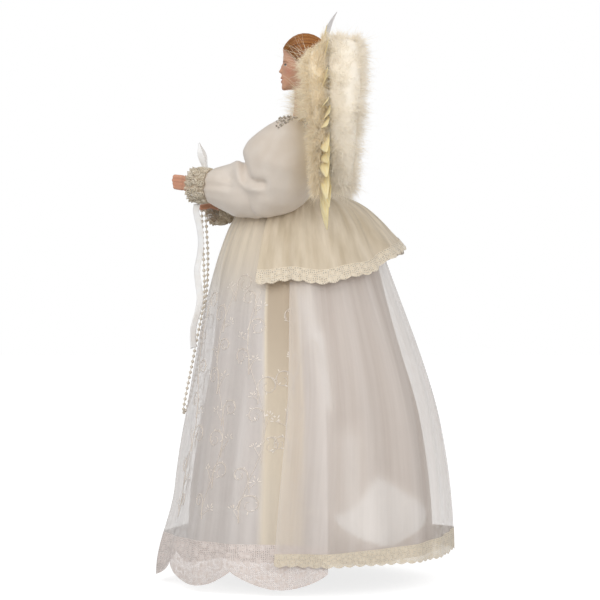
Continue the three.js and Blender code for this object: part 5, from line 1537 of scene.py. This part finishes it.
def down_core(name, strip, side):
    def core_place(u, v):
        turn = 2 * np.pi * v
        lumps = 0.03 * np.sin(31 * u + 4 * np.sin(turn)) * np.sin(3 * turn + 17 * u)
        spots = lowered(strip, bolster(strip, u, turn, strip["core"] + lumps)[0])
        outer = ease(np.cos(turn), 0.1, 0.6) * ease(-strip["toward"] * np.sin(turn), 0, 0.8)
        spots[:, 1] -= strip["toward"] * strip["shift"] * outer
        near, far = room(strip, spots[:, 2])
        spots[:, 1] = np.clip(spots[:, 1], near + 3.5, far - 0.5)
        return on_wing(spots, side)

    core = cloth_grid(name + "_core", 150, 48, core_place, (1, 1))
    set_tint(core, 0.75)
    return core


print("arch of the wing:", len(ARCH) - 1, "mm long")

# %% Barbs of the marabou
BARB_PLACES = (0, 0.4, 0.75, 1.0)
BARB_HALVES = (0.08, 0.08, 0.06, 0.015)
BARB_POINTS = 2 * len(BARB_PLACES)
TUFTS = 1300
BARBS_IN_TUFT = 15


def barbs(root, way, length, curl):
    """Fine barbs as narrow strips, bent by curl."""
    wide = unit(np.cross(way, chance.normal(size=root.shape)))
    rows = []
    for s, half in zip(BARB_PLACES, BARB_HALVES):
        spine = root + (length * s)[:, None] * way + (length * s * s)[:, None] * curl
        rows += [spine - half * wide, spine + half * wide]
    return np.stack(rows, axis=1).reshape(-1, 3)


def down(name, strip, strays, side):
    """Tufts of barbs on a core, closest beside the feathers and on the face, and strays between places."""
    count = TUFTS * BARBS_IN_TUFT
    fifth = TUFTS // 5
    turn = chance.uniform(-np.pi, np.pi, TUFTS)
    turn[:fifth] = -strip["toward"] * chance.uniform(0.1, 1.2, fifth)
    turn[fifth:2 * fifth] = strip["toward"] * chance.uniform(0.7, 2.4, fifth)
    root, out = bolster(strip, chance.uniform(0, 1, TUFTS), turn, strip["core"] - 0.03)
    way = np.repeat(unit(out + 0.3 * chance.normal(size=(TUFTS, 3))), BARBS_IN_TUFT, axis=0)
    way = unit(way + 0.4 * chance.normal(size=(count, 3)))
    root = lowered(strip, np.repeat(root, BARBS_IN_TUFT, axis=0) + 1.5 * chance.normal(size=(count, 3)))
    length = chance.uniform(*strip["barb"], count) * np.where(chance.uniform(size=count) < 0.06, 1.6, 1)
    near, far = room(strip, root[:, 2] + length * way[:, 2])
    root[:, 1] = np.clip(root[:, 1], near + 0.5, far - 0.3)
    free = np.where(way[:, 1] < 0, root[:, 1] - near, far - root[:, 1])
    length *= np.clip(free / np.maximum(np.abs(way[:, 1]) * length, 0.01), 0.2, 1)
    points = barbs(root, way, length, 0.3 * unit(chance.normal(size=(count, 3))) + [0, 0, -0.12])
    if len(strays):
        reach = strays[:, 1] - strays[:, 0]
        bent = 0.25 * chance.normal(size=reach.shape)
        loose = barbs(strays[:, 0], unit(reach), np.linalg.norm(reach, axis=1), bent)
        points = np.concatenate([points, loose])
    made = len(points) // BARB_POINTS
    fluff = mesh_piece(name + "_barbs", on_wing(points, side), quad_faces(1, len(BARB_PLACES) - 1, made))
    set_tint(fluff, np.repeat(chance.uniform(0.4, 1.0, made), BARB_POINTS))
    return joined(name, fluff, down_core(name, strip, side))


print(TUFTS * BARBS_IN_TUFT, "barbs on each strip")

# %% [markdown]
# Both wings are put together in the order they are glued: feathers on the card, short feathers over
# the quills, then the two strips of down. Loose barbs fill the places beside the hair and the neck, where the
# photograph shows wisps.

# %% Put the wings together
HAIR_WISPS = 60
NECK_WISPS = 900


def sew_down(name, side):
    by_hair = chance.uniform([20, -19, 320], [60, -12, 336], (HAIR_WISPS, 3))
    by_neck = chance.uniform([16, -18, 290], [60, -13, 311], (NECK_WISPS, 3))
    starts = np.concatenate([by_hair, by_neck])
    ends = np.concatenate([
        by_hair + chance.uniform([-14, -15, 2], [2, -5, 15], (HAIR_WISPS, 3)),
        by_neck + chance.uniform([-12, -12, -4], [2, -4, 5], (NECK_WISPS, 3))])
    front_strip = down(name + "_front_down", STRIPS["front"], np.stack([starts, ends], axis=1), side)
    dress(front_strip, name + "_wing", "marabou", front_down, name + "_front_marabou")
    back_strip = down(name + "_back_down", STRIPS["back"], [], side)
    dress(back_strip, name + "_wing", "marabou", back_down, name + "_back_marabou")


for name, side in (("left", 1), ("right", -1)):
    glue_feathers(name, side)
    sew_down(name, side)

# %% [markdown]
# ## Pieces kept from the CAD model
# The cone, the plate on the back, the wing cards and the wires have the right shape already and hardly show,
# so they only need their real materials.

# %% Finish the kept pieces
KEPT = {"tree_cone": card, "wing_anchor": card, "wing_card": felt, "arm_wire": steel, "wing_wire": steel}

for node_name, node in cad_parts.items():
    for ending, finish in KEPT.items():
        if node_name.endswith(ending):
            node.data.materials.clear()
            node.data.materials.append(finish)
            print(f"{node_name}: {finish.name}")

# %% [markdown]
# ## Studio
# A white sweep with soft light from all round and broad lamps on the angel's left. A plain white floor would
# either look grey or throw too much light up under the gown. So the floor is a middle grey that adds a glow
# only where it is seen, which reads as white and still takes a faint shadow.

# %% Floor
FLOOR_Z = -27.5
FLOOR_GREY = (0.5, 0.5, 0.5, 1)
WHITE = (1, 1, 1, 1)


def floor_place(u, v):
    return np.stack([mix(-6000, 3000, u), mix(-4000, 4000, v), 0 * u + FLOOR_Z], axis=-1)


floor = cloth_grid("floor", 2, 2, floor_place, (1, 1))
floor_white, tree = blank("white_sweep")
ray = add(tree, "ShaderNodeLightPath", {}).outputs
seen = add(tree, "ShaderNodeMath", {
    0: ray["Is Camera Ray"], 1: ray["Is Glossy Ray"]}, operation="MAXIMUM").outputs["Value"]
seen = add(tree, "ShaderNodeMath", {
    0: seen, 1: ray["Is Transmission Ray"]}, operation="MAXIMUM").outputs["Value"]
glow = add(tree, "ShaderNodeMath", {0: seen, 1: 0.8}, operation="MULTIPLY").outputs["Value"]
matt = add(tree, "ShaderNodeBsdfDiffuse", {"Color": FLOOR_GREY}).outputs["BSDF"]
shine = add(tree, "ShaderNodeEmission", {"Color": WHITE, "Strength": glow}).outputs["Emission"]
both = add(tree, "ShaderNodeAddShader", {0: matt, 1: shine}).outputs["Shader"]
add(tree, "ShaderNodeOutputMaterial", {"Surface": both})
floor.data.materials.append(floor_white)
print("floor lies at", FLOOR_Z, "mm")

# %% World
world = bpy.data.worlds.new("studio")
bpy.context.scene.world = world
world.use_nodes = True
tree = world.node_tree
tree.nodes.clear()
ray = add(tree, "ShaderNodeLightPath", {}).outputs
seen = add(tree, "ShaderNodeMath", {
    0: ray["Is Camera Ray"], 1: ray["Is Transmission Ray"]}, operation="MAXIMUM").outputs["Value"]
level = add(tree, "ShaderNodeMapRange", {"Value": seen, "To Min": 0.5, "To Max": 1.0}).outputs["Result"]
sky = add(tree, "ShaderNodeBackground", {"Color": WHITE, "Strength": level}).outputs["Background"]
add(tree, "ShaderNodeOutputWorld", {"Surface": sky})
print("world:", world.name)

# %% Lamps


def lamp(name, place, aim, size, watts):
    data = bpy.data.lights.new(name, "AREA")
    data.size = size
    data.energy = watts
    made = bpy.data.objects.new(name, data)
    made.location = place
    made.rotation_euler = (Vector(aim) - made.location).to_track_quat("-Z", "Y").to_euler()
    bpy.context.collection.objects.link(made)
    print(f"{name} lamp: {watts} W, {size} m wide")


lamp("key", (1.1, -1.0, 1.35), (0, 0, 0.17), 1.4, 10)
lamp("fill", (1.2, 1.2, 0.8), (0, 0, 0.17), 1.0, 8)
lamp("front", (1.6, 0.1, 0.7), (0, 0, 0.2), 0.9, 5.2)
bpy.context.scene.view_settings.view_transform = "Standard"
